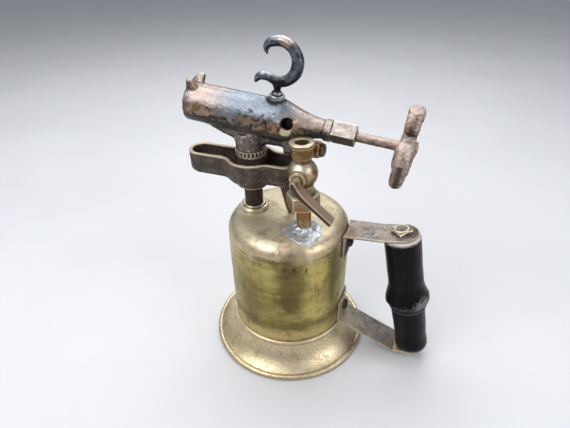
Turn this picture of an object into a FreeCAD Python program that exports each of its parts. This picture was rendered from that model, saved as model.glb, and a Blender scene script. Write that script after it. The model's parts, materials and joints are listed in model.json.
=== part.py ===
"""Brass gasoline blowtorch with a filler cock, a drip pan, a soldering-iron hook and a wooden grip.

The frame: +Z is up, the origin is on the tank's axis at the level of the table, +X points to the
grip, and the burner's mouth points towards -X. All sizes are millimetres and degrees.
"""
import FreeCAD, Part
import math
import os
from types import SimpleNamespace

import Sketcher

Vector = FreeCAD.Vector
Rotation = FreeCAD.Rotation
Placement = FreeCAD.Placement

SIZES = {
    # Fits shared by all pieces
    "seat_gap": 0.05,
    "running_gap": 0.05,
    "wick_gap": 0.3,
    "cut_margin": 5.0,
    # Tank: a drawn shell, closed below by a domed disc
    "tank_radius": 46.0,
    "tank_wall": 1.0,
    "tank_top": 117.0,
    "shoulder_radius": 10.5,
    "seam_height": 23.5,
    "bottom_flange": 5.5,
    "bottom_rise": 4.0,
    # Base: a spun skirt with a bead round its neck and a rolled rim
    "base_radius": 63.5,
    "roll_radius": 2.2,
    "foot_half_width": 0.9,
    "roll_top_angle": 120.0,
    "roll_inner_angle": 165.0,
    "cove_radius": 27.0,
    "bead_top": 26.0,
    "bead_bottom": 22.9,
    "bead_radius": 1.6,
    "bead_root": 0.6,
    "ledge_width": 2.0,
    "ledge_thick": 1.2,
    # Standpipe and what it carries the fuel through
    "pipe_offset": 27.9,
    "pipe_radius": 6.85,
    "pipe_bore": 4.6,
    "pipe_bottom": 109.0,
    "pipe_top": 176.0,
    "collar_radius": 10.9,
    "collar_height": 3.0,
    "collar_step_radius": 8.6,
    "collar_step": 1.5,
    "collar_round": 1.2,
    "spigot_radius": 9.0,
    "pickup_wall": 0.8,
    "pickup_bottom": 36.0,
    "pickup_overlap": 9.0,
    "wick_top": 112.0,
    # Drip pan
    "pan_floor_height": 143.4,
    "pan_rim_height": 160.5,
    "pan_floor": 3.0,
    "pan_wall": 2.6,
    "bowl_radius": 19.0,
    "trough_half_width": 10.4,
    "trough_reach": 49.6,
    "tail_half_width": 12.2,
    "tail_reach": 36.9,
    "pan_blend": 9.0,
    "pan_bottom_round": 4.0,
    "pan_hub_radius": 10.6,
    "pan_hub_top": 163.0,
    "pan_boss_radius": 11.5,
    "pan_boss_depth": 6.2,
    "leg_offset": 26.8,
    "leg_top_half": 7.0,
    "leg_foot_half": 2.0,
    "leg_foot_shift": 3.4,
    "leg_thick": 6.0,
    "ring_radius": 11.3,
    "ring_height": 3.6,
    "ring_notch_radius": 0.8,
    "ring_notch_count": 24,
    # Burner casting: distances run along its axis from the standpipe's axis, towards the grip
    "burner_tilt": 5.4,
    "burner_height": 191.7,
    "mouth_reach": 43.8,
    "mouth_radius": 13.1,
    "barrel_radius": 13.6,
    "barrel_bore": 10.3,
    "bore_end": 24.0,
    "cone_start": 26.0,
    "cone_end": 54.0,
    "cone_radius": 6.2,
    "cone_curve": 100.0,
    "neck_bead_radius": 7.3,
    "neck_groove_radius": 6.3,
    "neck_bead_length": 1.9,
    "neck_groove_length": 0.7,
    "neck_thread_radius": 4.0,
    "neck_thread_length": 7.5,
    "jet_bore": 4.0,
    "jet_bore_start": 38.0,
    "chamber_end": 52.0,
    "stem_radius": 10.7,
    "stem_straight": 4.4,
    "stem_flare_radius": 12.4,
    "stem_top": 180.0,
    "socket_depth": 10.0,
    "riser_radius": 3.0,
    "front_vein_radius": 6.5,
    "front_vein_height": 188.7,
    "front_vein_reach": 36.1,
    "front_vein_drop": 13.5,
    "front_vein_run": 34.0,
    "rear_vein_radius": 5.4,
    "rear_vein_height": 176.0,
    "rear_vein_run": 30.0,
    "passage_radius": 2.2,
    "passage_drop": 1.0,
    "feed_radius": 1.5,
    "boss_radius": 6.3,
    "boss_height": 172.0,
    "boss_start": 26.0,
    "boss_length": 18.0,
    "boss_web": 5.0,
    "air_hole_radius": 4.8,
    "air_hole_place": 30.8,
    "air_hole_rise": 13.0,
    "horn_angle": 25.0,
    "horn_length": 6.8,
    "horn_thick": 5.0,
    "horn_reach": 19.9,
    "horn_round": 1.6,
    # Soldering-iron hook on the barrel
    "hook_place": 19.2,
    "hook_pad_radius": 5.9,
    "hook_pad_height": 14.4,
    "hook_collar_radius": 5.6,
    "hook_collar_height": 2.4,
    "hook_bead_radius": 3.9,
    "hook_bead_height": 2.4,
    "hook_neck_radius": 2.9,
    "hook_stud_radius": 2.4,
    "hook_stud_depth": 2.6,
    "hook_bow_height": 37.5,
    "hook_bow_radius": 12.1,
    "hook_bar": 7.8,
    "hook_tip_bar": 4.4,
    "hook_tip_angle": 149.0,
    "tongue_root": 5.4,
    "tongue_root_bar": 6.8,
    "tongue_crest": 10.2,
    "tongue_crest_rise": 2.2,
    "tongue_crest_bar": 6.2,
    "tongue_bend": 13.5,
    "tongue_bend_rise": 0.5,
    "tongue_bend_bar": 4.7,
    "tongue_reach": 15.1,
    "tongue_drop": 2.6,
    "tongue_tip_bar": 2.2,
    # Needle valve
    "jet_start": 38.4,
    "jet_length": 7.6,
    "jet_nose": 4.0,
    "jet_nose_radius": 1.7,
    "jet_orifice": 0.7,
    "jet_seat_depth": 3.0,
    "jet_seat_radius": 2.5,
    "needle_tip": 43.1,
    "needle_tip_radius": 0.45,
    "needle_cone": 4.6,
    "needle_radius": 2.2,
    "spindle_radius": 3.2,
    "spindle_start": 50.5,
    "spindle_shoulder": 102.0,
    "spindle_end_radius": 2.6,
    "spindle_end": 113.4,
    "nut_width": 10.4,
    "nut_length": 16.0,
    "nut_chamfer": 0.8,
    "nut_turn": 82.0,
    "packing_length": 3.5,
    "wheel_gap": 0.1,
    "wheel_radius": 28.0,
    "wheel_thick": 8.5,
    "lobe_radius": 10.2,
    "wheel_web_radius": 14.5,
    "wheel_round": 3.0,
    "wheel_dish_radius": 12.0,
    "wheel_dish": 1.2,
    "wheel_hub_radius": 6.5,
    "wheel_nut_width": 9.5,
    "wheel_nut_height": 2.2,
    # Clean-out plug at the rear of the lower passage
    "cleanout_width": 10.4,
    "cleanout_hex": 5.5,
    "cleanout_shank_radius": 4.0,
    "cleanout_shank": 6.5,
    "cleanout_bore": 2.6,
    "plug_knob_radius": 4.8,
    "plug_knob_length": 5.0,
    "plug_shank": 7.0,
    # Filler cock, heights measured up its own axis from the tank's top
    "valve_place": 17.3,
    "valve_side": 15.8,
    "valve_lean": 2.0,
    "tube_radius": 5.2,
    "tube_bore": 3.4,
    "tube_depth": 8.0,
    "tube_socket": 4.5,
    "hex_bottom": 19.6,
    "hex_height": 10.0,
    "hex_width": 20.5,
    "hex_chamfer": 1.2,
    "hex_turn": -18.0,
    "hex_under_radius": 6.6,
    "hex_under": 2.6,
    "ball_height": 44.5,
    "ball_radius": 10.3,
    "ball_neck_radius": 7.4,
    "ball_top": 53.5,
    "ball_top_radius": 5.0,
    "valve_passage": 2.6,
    "plug_boss_radius": 5.4,
    "plug_boss_face": 11.6,
    "plug_back_radius": 5.0,
    "plug_back_face": 10.0,
    "plug_front_radius": 4.3,
    "plug_rear_radius": 3.5,
    "plug_spindle_radius": 2.9,
    "plug_port": 2.4,
    "plug_washer_radius": 4.5,
    "plug_washer": 1.0,
    "plug_screw_radius": 3.0,
    "plug_screw_head": 1.6,
    "plug_screw_shank_radius": 1.5,
    "plug_screw_shank": 5.0,
    "cup_spigot_radius": 4.5,
    "cup_spigot": 3.0,
    "cup_body_radius": 7.4,
    "cup_cone": 3.0,
    "cup_flange_radius": 8.6,
    "cup_flange": 3.0,
    "cup_top": 66.7,
    "cup_bowl_radius": 4.6,
    "cup_bowl_depth": 8.0,
    "lever_gap": 0.3,
    "lever_eye_radius": 4.0,
    "lever_width": 8.6,
    "lever_thick": 3.8,
    "lever_knee": 5.5,
    "lever_knee_angle": 62.0,
    "lever_arm": 28.0,
    "lever_arm_angle": 39.5,
    "solder_radius": 10.5,
    "solder_edge": 0.6,
    "solder_rise": 3.4,
    "solder_crown_radius": 7.4,
    "solder_top_radius": 6.1,
    "puddle_radius": 12.5,
    "puddle_thick": 0.45,
    "puddle_shift_x": 2.0,
    "puddle_shift_y": 4.0,
    # Handle: its own axis leans, and heights run up it from the grip's top face
    "handle_place": 84.2,
    "handle_height": 116.3,
    "handle_lean": 11.4,
    "grip_length": 106.5,
    "grip_bore": 3.4,
    "grip_top_radius": 11.4,
    "grip_upper_radius": 13.0,
    "grip_chamfer": 1.6,
    "grip_swell_start": 42.0,
    "grip_swell_radius": 13.8,
    "grip_swell_place": 46.6,
    "grip_bulge_radius": 16.2,
    "grip_bulge_start": 54.5,
    "grip_bulge_end": 58.0,
    "grip_groove_radius": 13.2,
    "grip_groove_place": 63.4,
    "grip_waist_radius": 12.0,
    "grip_waist_place": 94.5,
    "grip_lower_radius": 12.7,
    "grip_lower_start": 99.9,
    "grip_lower_end": 104.5,
    "grip_end_radius": 10.8,
    "strap_width": 22.2,
    "strap_thick": 1.6,
    "strap_end_radius": 11.6,
    "strap_bend": 13.3,
    "strap_hole": 3.5,
    "upper_strap_height": 113.2,
    "lower_strap_height": 28.0,
    "upper_flange_bottom": 93.0,
    "lower_flange_top": 47.0,
    "bolt_radius": 3.2,
    "bolt_head_radius": 7.0,
    "bolt_crown_radius": 3.5,
    "bolt_head": 2.4,
    "bolt_end": 5.2,
    "handle_nut_width": 12.0,
    "handle_nut_height": 4.2,
    "handle_nut_chamfer": 1.0,
    "handle_nut_slope": 3.0,
    "rivet_radius": 2.0,
    "rivet_head_radius": 4.6,
    "rivet_head": 3.0,
    "rivet_round": 2.7,
    "rivet_tail_radius": 3.4,
    "rivet_tail": 1.2,
    "upper_rivet_height": 102.0,
    "lower_rivet_height": 37.0,
}


class Size:
    """A number that remembers how it follows from the cells of the sheet."""

    def __init__(self, value, text):
        self.value = float(value)
        self.text = text

    def __add__(self, other):
        other = as_size(other)
        return Size(self.value + other.value, f"({self.text} + {other.text})")

    def __sub__(self, other):
        other = as_size(other)
        return Size(self.value - other.value, f"({self.text} - {other.text})")

    def __mul__(self, other):
        other = as_size(other)
        return Size(self.value * other.value, f"({self.text} * {other.text})")

    def __truediv__(self, other):
        other = as_size(other)
        return Size(self.value / other.value, f"({self.text} / {other.text})")

    def __radd__(self, other):
        return as_size(other) + self

    def __rsub__(self, other):
        return as_size(other) - self

    def __rmul__(self, other):
        return as_size(other) * self

    def __neg__(self):
        return as_size(0) - self


def as_size(number):
    """A plain number as a Size, and a Size as it is."""
    return number if isinstance(number, Size) else Size(number, f"{float(number):.6f}")


def sine(angle):
    """The sine of an angle in degrees."""
    return Size(math.sin(math.radians(angle.value)), f"sin({angle.text})")


def cosine(angle):
    """The cosine of an angle in degrees."""
    return Size(math.cos(math.radians(angle.value)), f"cos({angle.text})")


def root(size):
    """The square root of a Size."""
    return Size(math.sqrt(size.value), f"sqrt({size.text})")


doc = FreeCAD.newDocument("blowtorch")
sheet = doc.addObject("Spreadsheet::Sheet", "Sizes")
for row, (size_name, number) in enumerate(SIZES.items(), start=1):
    sheet.set(f"A{row}", size_name)
    sheet.set(f"B{row}", str(number))
    sheet.setAlias(f"B{row}", size_name)
doc.recompute()
s = SimpleNamespace(**{name: Size(number, f"Sizes.{name}") for name, number in SIZES.items()})

ORIGIN = (as_size(0), as_size(0), as_size(0))
AXIS_X = Vector(1, 0, 0)
AXIS_Y = Vector(0, 1, 0)
AXIS_Z = Vector(0, 0, 1)
SAME = 1e-4
BOW_STEPS = 8
WHEEL_LOBES = 4
nodes = []


def bind(thing, prop, size):
    """Give a property its Size and tie it to the sheet."""
    size = as_size(size)
    thing.setExpression(prop, size.text)


def put(thing, place=ORIGIN, axis=AXIS_Z, angle=None):
    """Place an object at a point, turned by an angle about an axis, all tied to the sheet."""
    turn = as_size(angle if angle is not None else 0)
    thing.Placement = Placement(vector(place), Rotation(axis, turn.value))
    for letter, part in zip("xyz", place):
        bind(thing, f"Placement.Base.{letter}", part)
    if angle is not None:
        bind(thing, "Placement.Rotation.Angle", turn)
    return thing


def vector(place):
    """A point given as three Sizes, as a vector."""
    return Vector(*[as_size(part).value for part in place])


def primitive(kind, name, place=ORIGIN, axis=AXIS_Z, angle=None, frame=None, **sizes):
    """A Part primitive whose sizes are tied to the sheet, at a place or in a whole frame."""
    thing = doc.addObject(f"Part::{kind}", name)
    for prop, size in sizes.items():
        size = as_size(size)
        setattr(thing, prop, size.value)
        bind(thing, prop, size)
    if frame is None:
        return put(thing, place, axis, angle)
    thing.Placement = frame
    return thing


def joined(name, shapes):
    """The union of several objects."""
    thing = doc.addObject("Part::MultiFuse", name)
    thing.Shapes = shapes
    thing.Refine = True
    return thing


def shared(name, shapes):
    """What several objects have in common."""
    thing = doc.addObject("Part::MultiCommon", name)
    thing.Shapes = shapes
    return thing


def cut(name, base, tools):
    """An object less one or more tools."""
    thing = doc.addObject("Part::Cut", name)
    thing.Base = base
    thing.Tool = tools[0] if len(tools) == 1 else joined(f"{name}_cutter", tools)
    return thing


def rounded(name, base, radius, picks):
    """Round the edges of an object that a test picks out."""
    doc.recompute()
    thing = doc.addObject("Part::Fillet", name)
    thing.Base = base
    edges = [i + 1 for i, edge in enumerate(base.Shape.Edges) if picks(edge)]
    if not edges:
        raise ValueError(f"{name}: no edge to round")
    thing.Edges = [(i, radius.value, radius.value) for i in edges]
    return thing


def node(label, thing):
    """Name an object as a sub-part of its own."""
    thing.Label = label
    nodes.append(thing)
    return thing


def origin_plane(body, role):
    """One of a body's own origin planes."""
    return next(item for item in body.Origin.OriginFeatures if item.Role == role)


def arc_segment(start, end, radius):
    """A short arc between two points; a positive radius has its centre to the left of the way."""
    middle = (start + end) * 0.5
    chord = end - start
    reach = math.sqrt(radius * radius - (chord.Length / 2) ** 2)
    left = Vector(-chord.y, chord.x, 0).normalize()
    centre = middle + left * math.copysign(reach, radius)
    first, last = (start, end) if radius > 0 else (end, start)
    angles = [math.atan2(point.y - centre.y, point.x - centre.x) for point in (first, last)]
    if angles[1] < angles[0]:
        angles[1] += 2 * math.pi
    circle = Part.Circle(centre, Vector(0, 0, 1), abs(radius))
    return Part.ArcOfCircle(circle, *angles)


def sketch_on(body, name, plane="XZ_Plane"):
    """An empty sketch on one of a body's origin planes."""
    sketch = body.newObject("Sketcher::SketchObject", name)
    sketch.AttachmentSupport = [(origin_plane(body, plane), "")]
    sketch.MapMode = "FlatFace"
    return sketch


def draw(sketch, corners):
    """Draw a closed outline and tie every corner to the sheet.

    A corner is (x, y), or (x, y, radius) where an arc leads on to the next corner: positive
    with its centre on the left of the way, negative with its centre on the right.
    """
    count = len(corners)
    points = [Vector(as_size(c[0]).value, as_size(c[1]).value, 0) for c in corners]
    ends = []
    for i, corner in enumerate(corners):
        start, end = points[i], points[(i + 1) % count]
        if len(corner) == 3:
            radius = corner[2]
            sketch.addGeometry(arc_segment(start, end, radius.value), False)
            index = sketch.addConstraint(Sketcher.Constraint("Radius", i, abs(radius.value)))
            bind(sketch, f"Constraints[{index}]", radius if radius.value > 0 else -radius)
            ends.append((1, 2) if radius.value > 0 else (2, 1))
        else:
            sketch.addGeometry(Part.LineSegment(start, end), False)
            ends.append((1, 2))
    for i in range(count):
        after = (i + 1) % count
        sketch.addConstraint(Sketcher.Constraint("Coincident", i, ends[i][1], after, ends[after][0]))
    for i, corner in enumerate(corners):
        for kind, size in zip(("DistanceX", "DistanceY"), corner):
            size = as_size(size)
            rule = Sketcher.Constraint(kind, -1, 1, i, ends[i][0], size.value)
            index = sketch.addConstraint(rule)
            bind(sketch, f"Constraints[{index}]", size)
    return sketch


def turned(name, corners, place=ORIGIN, axis=AXIS_Z, angle=None):
    """A body turned about its own Z axis from an outline of (radius, height) corners."""
    body = doc.addObject("PartDesign::Body", name)
    sketch = draw(sketch_on(body, f"{name}_outline"), corners)
    feature = body.newObject("PartDesign::Revolution", f"{name}_turning")
    feature.Profile = sketch
    feature.ReferenceAxis = (sketch, ["V_Axis"])
    feature.Angle = 360
    return put(body, place, axis, angle)


def slab(name, corners, width, plane="XZ_Plane", place=ORIGIN, axis=AXIS_Z, angle=None):
    """A body of an outline thickened evenly to both sides of its plane."""
    body = doc.addObject("PartDesign::Body", name)
    sketch = draw(sketch_on(body, f"{name}_outline", plane), corners)
    feature = body.newObject("PartDesign::Pad", f"{name}_pad")
    feature.Profile = sketch
    feature.Midplane = True
    feature.Length = width.value
    bind(feature, "Length", width)
    return put(body, place, axis, angle)


def soften(body, radius, circles):
    """Round the circular edges of a turned body, each given as (radius, height)."""
    doc.recompute()
    base = body.Tip
    wanted = [(as_size(ring).value, as_size(height).value) for ring, height in circles]
    names = []
    for i, edge in enumerate(base.Shape.Edges, start=1):
        if isinstance(edge.Curve, Part.Circle):
            spot = (edge.Curve.Radius, edge.Curve.Center.z)
            if any(math.dist(spot, want) < SAME for want in wanted):
                names.append(f"Edge{i}")
    if len(names) != len(circles):
        raise ValueError(f"{body.Name}: {len(names)} of {len(circles)} edges found")
    feature = body.newObject("PartDesign::Fillet", f"{body.Name}_round_{len(body.Group)}")
    feature.Base = (base, names)
    feature.Radius = radius.value
    bind(feature, "Radius", radius)
    body.Tip = feature
    return body


def tube_corners(outer, inner, low, high):
    """The outline of a plain tube."""
    return [(inner, low), (outer, low), (outer, high), (inner, high)]


def chamfered(name, sides, width, chamfer, corners, low, height, place, axis, angle, spin):
    """A nut: a prism of a few sides, less what lies outside a turned blank."""
    corner_radius = width / (2 * math.cos(math.pi / sides))
    blank = turned(f"{name}_blank", corners(corner_radius, chamfer), place, axis, angle)
    frame = blank.Placement * Placement(AXIS_Z * low.value, Rotation(AXIS_Z, spin))
    bar = primitive("Prism", f"{name}_bar", Circumradius=corner_radius, Height=height, frame=frame)
    bar.Polygon = sides
    return shared(name, [blank, bar])


# Tank

tank_inner = s.tank_radius - s.tank_wall
bottom_outer = tank_inner - s.seat_gap
bottom_inner = bottom_outer - s.tank_wall
collar_hole = s.spigot_radius + s.seat_gap
valve_spot = (s.valve_place, -s.valve_side, s.tank_top)


def along_valve(height):
    """A point on the filler cock's axis, a height above the tank's top."""
    return (s.valve_place - height * sine(s.valve_lean), -s.valve_side,
            s.tank_top + height * cosine(s.valve_lean))


def rivet_hole(name, height, radius):
    """A hole through the strap's flange and the tank's wall for a rivet."""
    return primitive("Cylinder", name, Radius=radius, Height=2 * s.cut_margin,
                     place=(s.tank_radius - s.cut_margin, 0, height), axis=AXIS_Y, angle=as_size(90))


def make_tank():
    """The drawn shell, its domed bottom and the spun base."""
    shell = turned("tank_cup", [
        (s.tank_radius, s.seam_height), (s.tank_radius, s.tank_top), (0, s.tank_top),
        (0, s.tank_top - s.tank_wall), (tank_inner, s.tank_top - s.tank_wall), (tank_inner, s.seam_height)])
    soften(shell, s.shoulder_radius, [(s.tank_radius, s.tank_top)])
    soften(shell, s.shoulder_radius - s.tank_wall, [(tank_inner, s.tank_top - s.tank_wall)])
    burner_hole = primitive("Cylinder", "burner_hole", Radius=collar_hole, Height=2 * s.cut_margin,
                            place=(-s.pipe_offset, 0, s.tank_top - s.cut_margin))
    filler_hole = primitive("Cylinder", "filler_hole", Radius=s.tube_radius + s.seat_gap,
                            Height=2 * s.cut_margin, place=along_valve(-s.cut_margin), axis=AXIS_Y,
                            angle=-s.valve_lean)
    rivets = [rivet_hole(f"{side}_tank_rivet_hole", height, s.rivet_radius + s.seat_gap)
              for side, height in (("upper", s.upper_rivet_height), ("lower", s.lower_rivet_height))]
    node("tank_shell", cut("shell_cut", shell, [burner_hole, filler_hole, *rivets]))

    edge = s.seam_height + s.bottom_flange
    dome = (bottom_outer * bottom_outer + s.bottom_rise * s.bottom_rise) / (2 * s.bottom_rise)
    under = (bottom_inner * bottom_inner + s.bottom_rise * s.bottom_rise) / (2 * s.bottom_rise)
    node("tank_bottom", turned("bottom_disc", [
        (bottom_inner, s.seam_height), (bottom_outer, s.seam_height), (bottom_outer, edge, dome),
        (0, edge + s.bottom_rise), (0, edge + s.bottom_rise - s.tank_wall, -under),
        (bottom_inner, edge - s.tank_wall)]))

    roll_centre = s.base_radius - s.roll_radius
    roll_height = root(s.roll_radius * s.roll_radius - s.foot_half_width * s.foot_half_width)

    def on_roll(angle):
        return (roll_centre + s.roll_radius * cosine(angle), roll_height + s.roll_radius * sine(angle))

    neck_inner = s.tank_radius + s.seat_gap
    bead_foot = s.tank_radius + s.bead_root
    ledge_inner = s.tank_radius - s.ledge_width
    ledge_bottom = s.seam_height - s.ledge_thick
    node("base_skirt", turned("skirt", [
        (neck_inner, s.bead_top), (bead_foot, s.bead_top, -s.bead_radius),
        (bead_foot, s.bead_bottom, s.cove_radius),
        (*on_roll(s.roll_top_angle), -s.roll_radius),
        (s.base_radius, roll_height, -s.roll_radius),
        (roll_centre + s.foot_half_width, 0), (roll_centre - s.foot_half_width, 0, -s.roll_radius),
        (*on_roll(s.roll_inner_angle), -(s.cove_radius + s.tank_wall)),
        (ledge_inner + s.ledge_thick, ledge_bottom), (ledge_inner, ledge_bottom),
        (ledge_inner, s.seam_height), (neck_inner, s.seam_height)]))


# Standpipe, pan and lock ring

pipe_spot = (-s.pipe_offset, as_size(0), as_size(0))
pipe_fit = s.pipe_radius + s.seat_gap
ring_top = s.pan_hub_top + s.ring_height


def make_standpipe():
    """The collar on the tank, the pipe, the pick-up tube inside it and the wick."""
    flange_top = s.tank_top + s.collar_height
    collar = turned("collar", [
        (pipe_fit, s.pipe_bottom), (s.spigot_radius, s.pipe_bottom), (s.spigot_radius, s.tank_top),
        (s.collar_radius, s.tank_top), (s.collar_radius, flange_top), (s.collar_step_radius, flange_top),
        (s.collar_step_radius, flange_top + s.collar_step), (pipe_fit, flange_top + s.collar_step)],
        pipe_spot)
    soften(collar, s.collar_round, [(s.collar_radius, flange_top)])
    node("burner_collar", collar)
    node("standpipe", turned("pipe", tube_corners(s.pipe_radius, s.pipe_bore, s.pipe_bottom, s.pipe_top),
                             pipe_spot))
    pickup = s.pipe_bore - s.seat_gap
    node("pickup_tube", turned("pickup", tube_corners(
        pickup, pickup - s.pickup_wall, s.pickup_bottom, s.pipe_bottom + s.pickup_overlap), pipe_spot))
    wick = pickup - s.pickup_wall - s.wick_gap
    node("wick", turned("wick_cord", [(0, s.pickup_bottom), (wick, s.pickup_bottom), (wick, s.wick_top),
                                      (0, s.wick_top)], pipe_spot))


def pan_block(name, inset, low, high):
    """The pan's plan, drawn in by an inset, as a solid between two heights."""
    height = high - low
    parts = [primitive("Cylinder", f"{name}_bowl", Radius=s.bowl_radius - inset, Height=height,
                       place=(-s.pipe_offset, 0, low))]
    arms = (("trough", s.trough_half_width - inset, s.trough_reach - s.trough_half_width, as_size(-1)),
            ("tail", s.tail_half_width - inset, s.tail_reach - s.tail_half_width, as_size(0)))
    for arm, half, run, back in arms:
        parts.append(primitive("Box", f"{name}_{arm}", Length=run, Width=2 * half, Height=height,
                               place=(back * run - s.pipe_offset, -half, low)))
        end = run * (2 * back + 1) - s.pipe_offset
        parts.append(primitive("Cylinder", f"{name}_{arm}_end", Radius=half, Height=height,
                               place=(end, 0, low)))
    plan = joined(f"{name}_plan", parts)

    def inner_corner(edge):
        upright = abs(edge.BoundBox.ZLength - height.value) < SAME and edge.BoundBox.XLength < SAME
        away = abs(edge.BoundBox.Center.x + s.pipe_offset.value)
        return upright and away < s.bowl_radius.value - 1 and isinstance(edge.Curve, Part.Line)

    return rounded(f"{name}_blend", plan, s.pan_blend + inset, inner_corner)


def make_pan():
    """The cast drip pan with its hub, boss and leg, and the notched ring that holds it down."""
    outer = pan_block("pan_outer", as_size(0), s.pan_floor_height, s.pan_rim_height)
    low = s.pan_floor_height.value
    outer = rounded("pan_outer_round", outer, s.pan_bottom_round,
                    lambda edge: edge.BoundBox.ZLength < SAME and abs(edge.BoundBox.ZMin - low) < SAME)
    inner = pan_block("pan_inner", s.pan_wall, s.pan_floor_height + s.pan_floor,
                      s.pan_rim_height + s.cut_margin)
    boss_low = s.pan_floor_height - s.pan_boss_depth
    hub = turned("pan_hub", [
        (0, boss_low), (s.pan_boss_radius, boss_low), (s.pan_boss_radius, s.pan_floor_height + s.pan_floor),
        (s.pan_hub_radius, s.pan_floor_height + s.pan_floor), (s.pan_hub_radius, s.pan_hub_top),
        (0, s.pan_hub_top)], pipe_spot)
    soften(hub, s.collar_round, [(s.pan_boss_radius, boss_low)])
    leg_top = s.pan_floor_height + s.pan_floor
    leg = slab("pan_leg", [
        (-s.leg_top_half, leg_top), (s.leg_foot_shift - s.leg_foot_half, s.tank_top),
        (s.leg_foot_shift + s.leg_foot_half, s.tank_top), (s.leg_top_half, leg_top)], s.leg_thick,
        place=(s.leg_offset - s.pipe_offset, 0, 0))
    body = joined("pan_casting", [cut("pan_shell", outer, [inner]), hub, leg])
    bore = primitive("Cylinder", "pan_bore", Radius=pipe_fit,
                     Height=s.pan_hub_top - boss_low + 2 * s.cut_margin,
                     place=(-s.pipe_offset, 0, boss_low - s.cut_margin))
    node("drip_pan", cut("pan_cut", body, [bore]))

    ring = turned("lock_ring", tube_corners(s.ring_radius, pipe_fit, s.pan_hub_top, ring_top), pipe_spot)
    notch = ring.newObject("Sketcher::SketchObject", "ring_notch")
    notch.AttachmentSupport = [(origin_plane(ring, "XY_Plane"), "")]
    notch.MapMode = "FlatFace"
    notch.addGeometry(Part.Circle(AXIS_X * s.ring_radius.value, AXIS_Z, s.ring_notch_radius.value))
    notch.addConstraint(Sketcher.Constraint("PointOnObject", 0, 3, -1))
    for rule, size in ((Sketcher.Constraint("DistanceX", -1, 1, 0, 3, s.ring_radius.value), s.ring_radius),
                       (Sketcher.Constraint("Radius", 0, s.ring_notch_radius.value), s.ring_notch_radius)):
        bind(notch, f"Constraints[{notch.addConstraint(rule)}]", size)
    doc.recompute()
    whole = ring.Shape.Volume
    groove = ring.newObject("PartDesign::Pocket", "ring_groove")
    groove.Profile = notch
    groove.Type = "ThroughAll"
    groove.Midplane = True
    around = ring.newObject("PartDesign::PolarPattern", "ring_grooves")
    around.Originals = [groove]
    around.Axis = (notch, ["N_Axis"])
    around.Angle = 360
    around.Occurrences = int(s.ring_notch_count.value)
    bind(around, "Occurrences", s.ring_notch_count)
    ring.Tip = around
    doc.recompute()
    if ring.Shape.Volume >= whole:
        raise ValueError("the ring's notches cut nothing")
    node("pan_lock_ring", ring)


# Burner

burner_spot = (-s.pipe_offset, as_size(0), s.burner_height)
burner_turn = 90 + s.burner_tilt
boss_back = s.boss_start - s.pipe_offset
boss_face = boss_back + s.boss_length
neck_end = s.cone_end + 2 * s.neck_bead_length + s.neck_groove_length
thread_end = neck_end + s.neck_thread_length
spindle_fit = s.spindle_radius + s.running_gap


def on_axis(along, up=as_size(0), side=as_size(0)):
    """A point by the burner's axis: along it, square to it upwards, and sideways."""
    return (along * cosine(s.burner_tilt) + up * sine(s.burner_tilt) - s.pipe_offset, side,
            s.burner_height - along * sine(s.burner_tilt) + up * cosine(s.burner_tilt))


def turned_on_burner(name, corners):
    """A body turned about the burner's axis, from (radius, distance along it) corners."""
    return turned(name, corners, burner_spot, AXIS_Y, burner_turn)


def burner_outline():
    """The casting's turned form: barrel, cone, beaded neck and threaded end."""
    first_bead = s.cone_end + s.neck_bead_length
    second_bead = first_bead + s.neck_groove_length
    return [
        (0, -s.mouth_reach), (s.mouth_radius, -s.mouth_reach),
        (s.barrel_radius, s.cone_start, -s.cone_curve),
        (s.cone_radius, s.cone_end), (s.neck_bead_radius, s.cone_end), (s.neck_bead_radius, first_bead),
        (s.neck_groove_radius, first_bead), (s.neck_groove_radius, second_bead),
        (s.neck_bead_radius, second_bead), (s.neck_bead_radius, neck_end),
        (s.neck_thread_radius, neck_end), (s.neck_thread_radius, thread_end), (0, thread_end)]


def horn(name, side):
    """One of the two lugs over the mouth that a soldering iron rests between."""
    low = s.barrel_bore + s.horn_round
    turn = Rotation(AXIS_Y, burner_turn.value) * Rotation(AXIS_Z, 180 - side * s.horn_angle.value)
    frame = Placement(vector(burner_spot), turn)
    corner = vector((low, s.horn_thick / -2, -s.mouth_reach))
    block = primitive("Box", f"{name}_block", Length=s.horn_reach - low, Width=s.horn_thick,
                      Height=s.horn_length, frame=frame * Placement(corner, Rotation()))
    tip = frame.multVec(AXIS_X * s.horn_reach.value)
    outward = turn.multVec(AXIS_X)

    def on_tip(edge):
        return all(abs((vertex.Point - tip).dot(outward)) < SAME for vertex in edge.Vertexes)

    return rounded(name, block, s.horn_round, on_tip)


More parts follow.
